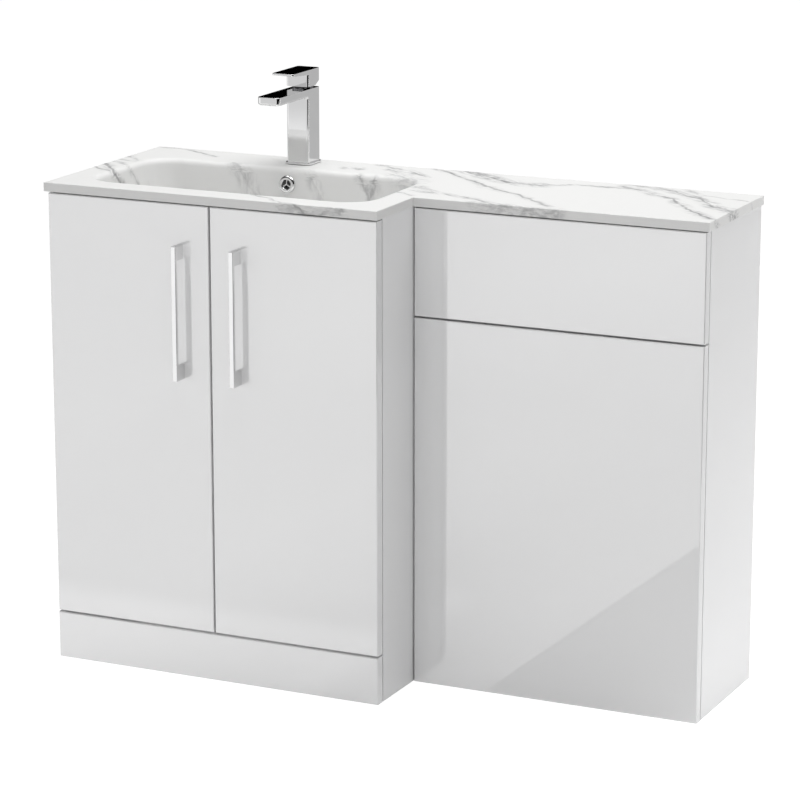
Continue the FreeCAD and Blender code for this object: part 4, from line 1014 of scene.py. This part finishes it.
@dataclass
class Studio:
    """The floor, light and camera, in metres."""

    floor_radius: float = 14.0
    floor_sides: int = 96
    floor_colour: str = "#F2F2F2"
    # Brightness that polished surfaces mirror of the floor and of the card, before and behind the unit
    floor_mirrored: Place = (1.27, 0.62)
    card_mirrored: Place = (0.72, 0.55)
    card_edge: tuple[Point, Point] = ((0.179, -0.054, 0.0), (0.262, -3.0, 0.0))
    card_width: float = 3.0
    card_lift: float = 0.0006
    flag_height: float = 2.4
    flags: tuple[Flag, ...] = (
        Flag("black_flag", ((1.0, -2.1), (1.85, -1.3), (2.05, 1.4)), 0.004),
        Flag("grey_flag", ((-2.6, 0.5), (-2.0, 2.0)), 0.25),
    )
    lamps: tuple[Lamp, ...] = (
        Lamp("top_softbox", (0.2, 0.2, 3.3), 2.6, 78.0),
        Lamp("right_softbox", (2.4, 1.2, 0.25), 0.9, 15.5),
    )
    lamp_aim: Point = (0.0, 0.0, 0.5)
    eye: Point = (2.2428, -4.75066, 1.77265)
    aim: Point = (-0.24452, 0.00025, 0.43995)
    lens: float = 149.137
    sensor: float = 36.0
    sight: float = 100.0
    # How bright the stage looks to the camera, and the shares of that and of what mirrors see in its look
    paper_white: float = 1.27
    paper_share: float = 0.7
    mirror_share: float = 0.7
    # Soft light that the floor gives the unit, strongest beside its right end
    side_glow_at: Point = (0.9, 0.08, 0.0)
    side_glow_span: Place = (0.1, 0.6)
    side_glow: Place = (0.6, 0.1)
    # The mirrored floor, as shares of its brightness: from left to right close by and farther out, from far
    # to near, at the plinth's foot, and on behind the unit
    # Close to the unit the mirrored floor is dimmer, and darker towards the right: a painted shadow of the
    # unit that only mirrors see
    floor_close: Fade = Fade(-0.55, -0.15, 0.95, 0.55)
    floor_middle: Fade = Fade(-1.3, -0.5, 1.06, 0.87)
    floor_far: Fade = Fade(-3.4, -1.9, 1.13)
    floor_end: Fade = Fade(-5.0, -4.3, 0.74)
    floor_near: Fade = Fade(-1.9, -0.1)
    foot_across: Fade = Fade(-0.1, -0.02, 0.24)
    foot_along: Fade = Fade(-0.56, -0.48)
    floor_behind: Fade = Fade(-0.1, 1.2)
    # The mirrored room: from low to high before the unit, to the right and low behind it, and overhead
    room_low: Fade = Fade(0.0, 0.24, 1.0, 0.43)
    room_middle: Fade = Fade(0.24, 0.42, last=0.02)
    room_right: Fade = Fade(-0.1, 0.2, last=0.6)
    room_back: Fade = Fade(0.0, 0.06, first=1.0)
    room_turn: Fade = Fade(-0.1, 0.35)
    room_top: Fade = Fade(0.74, 0.86, last=1.1)
    # Soft light from all round, and more of it from low before the unit
    ambient: float = 0.3
    glow_from: Point = (-0.75, -0.66, 0.0)
    glow_ahead: Fade = Fade(0.1, 0.6, last=0.95)
    glow_low: Fade = Fade(0.22, 0.34)

    def build(self) -> None:
        """Sets up the floor, the light, the camera and the view."""
        self.floor()
        self.card()
        for flag in self.flags:
            self.stand(flag)
        self.world()
        for lamp in self.lamps:
            self.hang(lamp)
        self.camera()
        bpy.context.scene.view_settings.view_transform = "Standard"

    def stage_material(self, name: str, front: float, back: float) -> Material:
        """Builds a stage surface: white with the unit's shadow to the camera, and plain to other rays.

        Args:
            name: Name of the surface.
            front: Brightness that polished surfaces mirror in front of the unit.
            back: Brightness that they mirror behind it.

        Returns:
            The material.
        """
        material, tree = empty_material(name)
        place = add_node(tree, "TexCoord").outputs["Object"]
        path = add_node(tree, "LightPath")
        mirrored = self.mirrored_floor(tree, place, front, back)
        apart = calculate_vector(tree, "DISTANCE", place, self.side_glow_at)
        pool = ranged(tree, apart, self.side_glow_span, self.side_glow, interpolation_type="SMOOTHSTEP")
        plain = add_node(tree, "BsdfDiffuse", {"Color": linear(self.floor_colour)})
        glow = add_node(tree, "Emission", {"Color": WHITE, "Strength": pool})
        paper = add_node(tree, "Emission", {"Color": WHITE, "Strength": self.paper_white})
        sheen = add_node(tree, "Emission", {"Color": WHITE, "Strength": mirrored})
        seen = calculate(tree, "MULTIPLY", self.seen_by_camera(tree, path), self.paper_share)
        gloss = calculate(tree, "MULTIPLY", path.outputs["Is Glossy Ray"], self.mirror_share)
        table = add_node(tree, "AddShader", {0: plain.outputs[0], 1: glow.outputs[0]})
        shown = add_node(tree, "MixShader", {0: seen, 1: table.outputs[0], 2: paper.outputs[0]})
        surface = add_node(tree, "MixShader", {0: gloss, 1: shown.outputs[0], 2: sheen.outputs[0]})
        add_node(tree, "OutputMaterial", {"Surface": surface.outputs[0]})
        return material

    def mirrored_floor(self, tree: Tree, place: Socket, front: float, back: float) -> Socket:
        """Draws how bright polished surfaces mirror the floor, with a painted shadow of the unit close by.

        Args:
            tree: Node tree of the surface.
            place: Place on the floor.
            front: Brightness in front of the unit.
            back: Brightness behind it.

        Returns:
            The brightness.
        """
        parts = add_node(tree, "SeparateXYZ", {0: place})
        across, along = parts.outputs["X"], parts.outputs["Y"]
        close = self.floor_close.draw(tree, across, level=front)
        middle = self.floor_middle.draw(tree, across, level=front)
        far = self.floor_far.draw(tree, along, last=middle, level=front)
        end = self.floor_end.draw(tree, along, last=far, level=front)
        before = self.floor_near.draw(tree, along, end, close)
        strip = self.foot_across.draw(tree, across, level=front)
        strip = self.foot_along.draw(tree, along, last=strip)
        before = calculate(tree, "ADD", before, strip)
        return self.floor_behind.draw(tree, along, before, back)

    @staticmethod
    def seen_by_camera(tree: Tree, path: bpy.types.Node) -> Socket:
        """Gives one for the camera's rays, straight or through a clear piece, and nought for others."""
        return calculate(tree, "MAXIMUM", path.outputs["Is Camera Ray"], path.outputs["Is Transmission Ray"])

    def floor(self) -> None:
        """Lays the round floor."""
        clear_selection()
        bpy.ops.mesh.primitive_circle_add(vertices=self.floor_sides, radius=self.floor_radius,
                                          fill_type="NGON")
        floor = start_piece("studio_floor")
        floor.data.materials.append(self.stage_material("studio_floor_paint", *self.floor_mirrored))

    def card(self) -> None:
        """Lays the card on the floor that the lower panel mirrors: grey only to mirrors, a painted dark
        reflection, and white floor to the camera.
        """
        start, stop = (Vector(point) + Vector((0, 0, self.card_lift)) for point in self.card_edge)
        wide = Vector((self.card_width, 0, 0))
        corners = [tuple(corner) for corner in (start, stop, stop + wide, start + wide)]
        mesh = bpy.data.meshes.new("floor_card")
        mesh.from_pydata(corners, [], [(0, 1, 2, 3)])
        mesh.materials.append(self.stage_material("floor_card_grey", *self.card_mirrored))
        card = bpy.data.objects.new("floor_card", mesh)
        bpy.context.scene.collection.objects.link(card)

    def stand(self, folding: Flag) -> None:
        """Stands a folding flag beside the unit that only mirrors see.

        Args:
            folding: Flag to stand up.
        """
        material, tree = empty_material(f"{folding.name}_cloth")
        path = add_node(tree, "LightPath")
        clear = add_node(tree, "BsdfTransparent")
        cloth = add_node(tree, "Emission", {"Color": WHITE, "Strength": folding.grey})
        shown = add_node(tree, "MixShader", {0: path.outputs["Is Glossy Ray"], 1: clear.outputs[0],
                                             2: cloth.outputs[0]})
        add_node(tree, "OutputMaterial", {"Surface": shown.outputs[0]})
        corners = [(x, y, z) for x, y in folding.edges for z in (0.0, self.flag_height)]
        folds = [(fold, fold + 1, fold + 3, fold + 2) for fold in range(0, len(corners) - 2, 2)]
        mesh = bpy.data.meshes.new(folding.name)
        mesh.from_pydata(corners, [], folds)
        mesh.materials.append(material)
        flag = bpy.data.objects.new(folding.name, mesh)
        bpy.context.scene.collection.objects.link(flag)

    def world(self) -> None:
        """Lights the room evenly, white to the camera and bright low down in mirrors."""
        world = bpy.data.worlds.new("studio_room")
        world.use_nodes = True
        tree = world.node_tree
        tree.nodes.clear()
        path = add_node(tree, "LightPath")
        way = add_node(tree, "TexCoord").outputs["Generated"]
        parts = add_node(tree, "SeparateXYZ", {0: way})
        across, along, up = (parts.outputs[axis] for axis in "XYZ")
        front = self.room_low.draw(tree, up)
        front = self.room_middle.draw(tree, up, front)
        right = self.room_right.draw(tree, across)
        back = self.room_back.draw(tree, up, last=right)
        room = self.room_turn.draw(tree, along, front, back)
        mirrored = self.room_top.draw(tree, up, room)
        facing = calculate_vector(tree, "DOT_PRODUCT", way, self.glow_from)
        low = self.glow_low.draw(tree, up, self.glow_ahead.draw(tree, facing))
        soft = calculate(tree, "ADD", low, self.ambient)
        even = add_node(tree, "Background", {"Color": WHITE, "Strength": soft})
        polished = add_node(tree, "Background", {"Color": WHITE, "Strength": mirrored})
        white = add_node(tree, "Background", {"Color": WHITE, "Strength": 1.0})
        lit = add_node(tree, "MixShader", {0: path.outputs["Is Glossy Ray"], 1: even.outputs[0],
                                           2: polished.outputs[0]})
        shown = add_node(tree, "MixShader", {0: self.seen_by_camera(tree, path), 1: lit.outputs[0],
                                             2: white.outputs[0]})
        add_node(tree, "OutputWorld", {"Surface": shown.outputs[0]})
        bpy.context.scene.world = world

    def hang(self, softbox: Lamp) -> None:
        """Hangs a softbox that looks at the unit.

        Args:
            softbox: Lamp to hang.
        """
        data = bpy.data.lights.new(softbox.name, "AREA")
        data.shape = "SQUARE"
        data.size = softbox.size
        data.energy = softbox.power
        lamp = bpy.data.objects.new(softbox.name, data)
        lamp.location = softbox.place
        look = Vector(self.lamp_aim) - Vector(softbox.place)
        lamp.rotation_euler = look.to_track_quat("-Z", "Y").to_euler()
        bpy.context.scene.collection.objects.link(lamp)

    def camera(self) -> None:
        """Puts the camera where the picture was taken from."""
        data = bpy.data.cameras.new("studio_camera")
        data.lens = self.lens
        data.sensor_width = self.sensor
        data.clip_end = self.sight
        camera = bpy.data.objects.new("studio_camera", data)
        camera.location = self.eye
        pitch, roll, turn = self.aim
        camera.rotation_euler = (math.pi / 2 + pitch, roll, turn)
        bpy.context.scene.collection.objects.link(camera)
        bpy.context.scene.camera = camera


def main() -> None:
    """Builds and dresses the sub-assemblies in order, then sets up the studio."""
    palette = Palette()
    for assembly in (Worktop(), Tap(), Cupboard(), DoorPair(), ToiletUnit()):
        assembly.build(palette)
        report.info("%s is done", type(assembly).__name__)
    Studio().build()


if __name__ == "__main__":
    main()
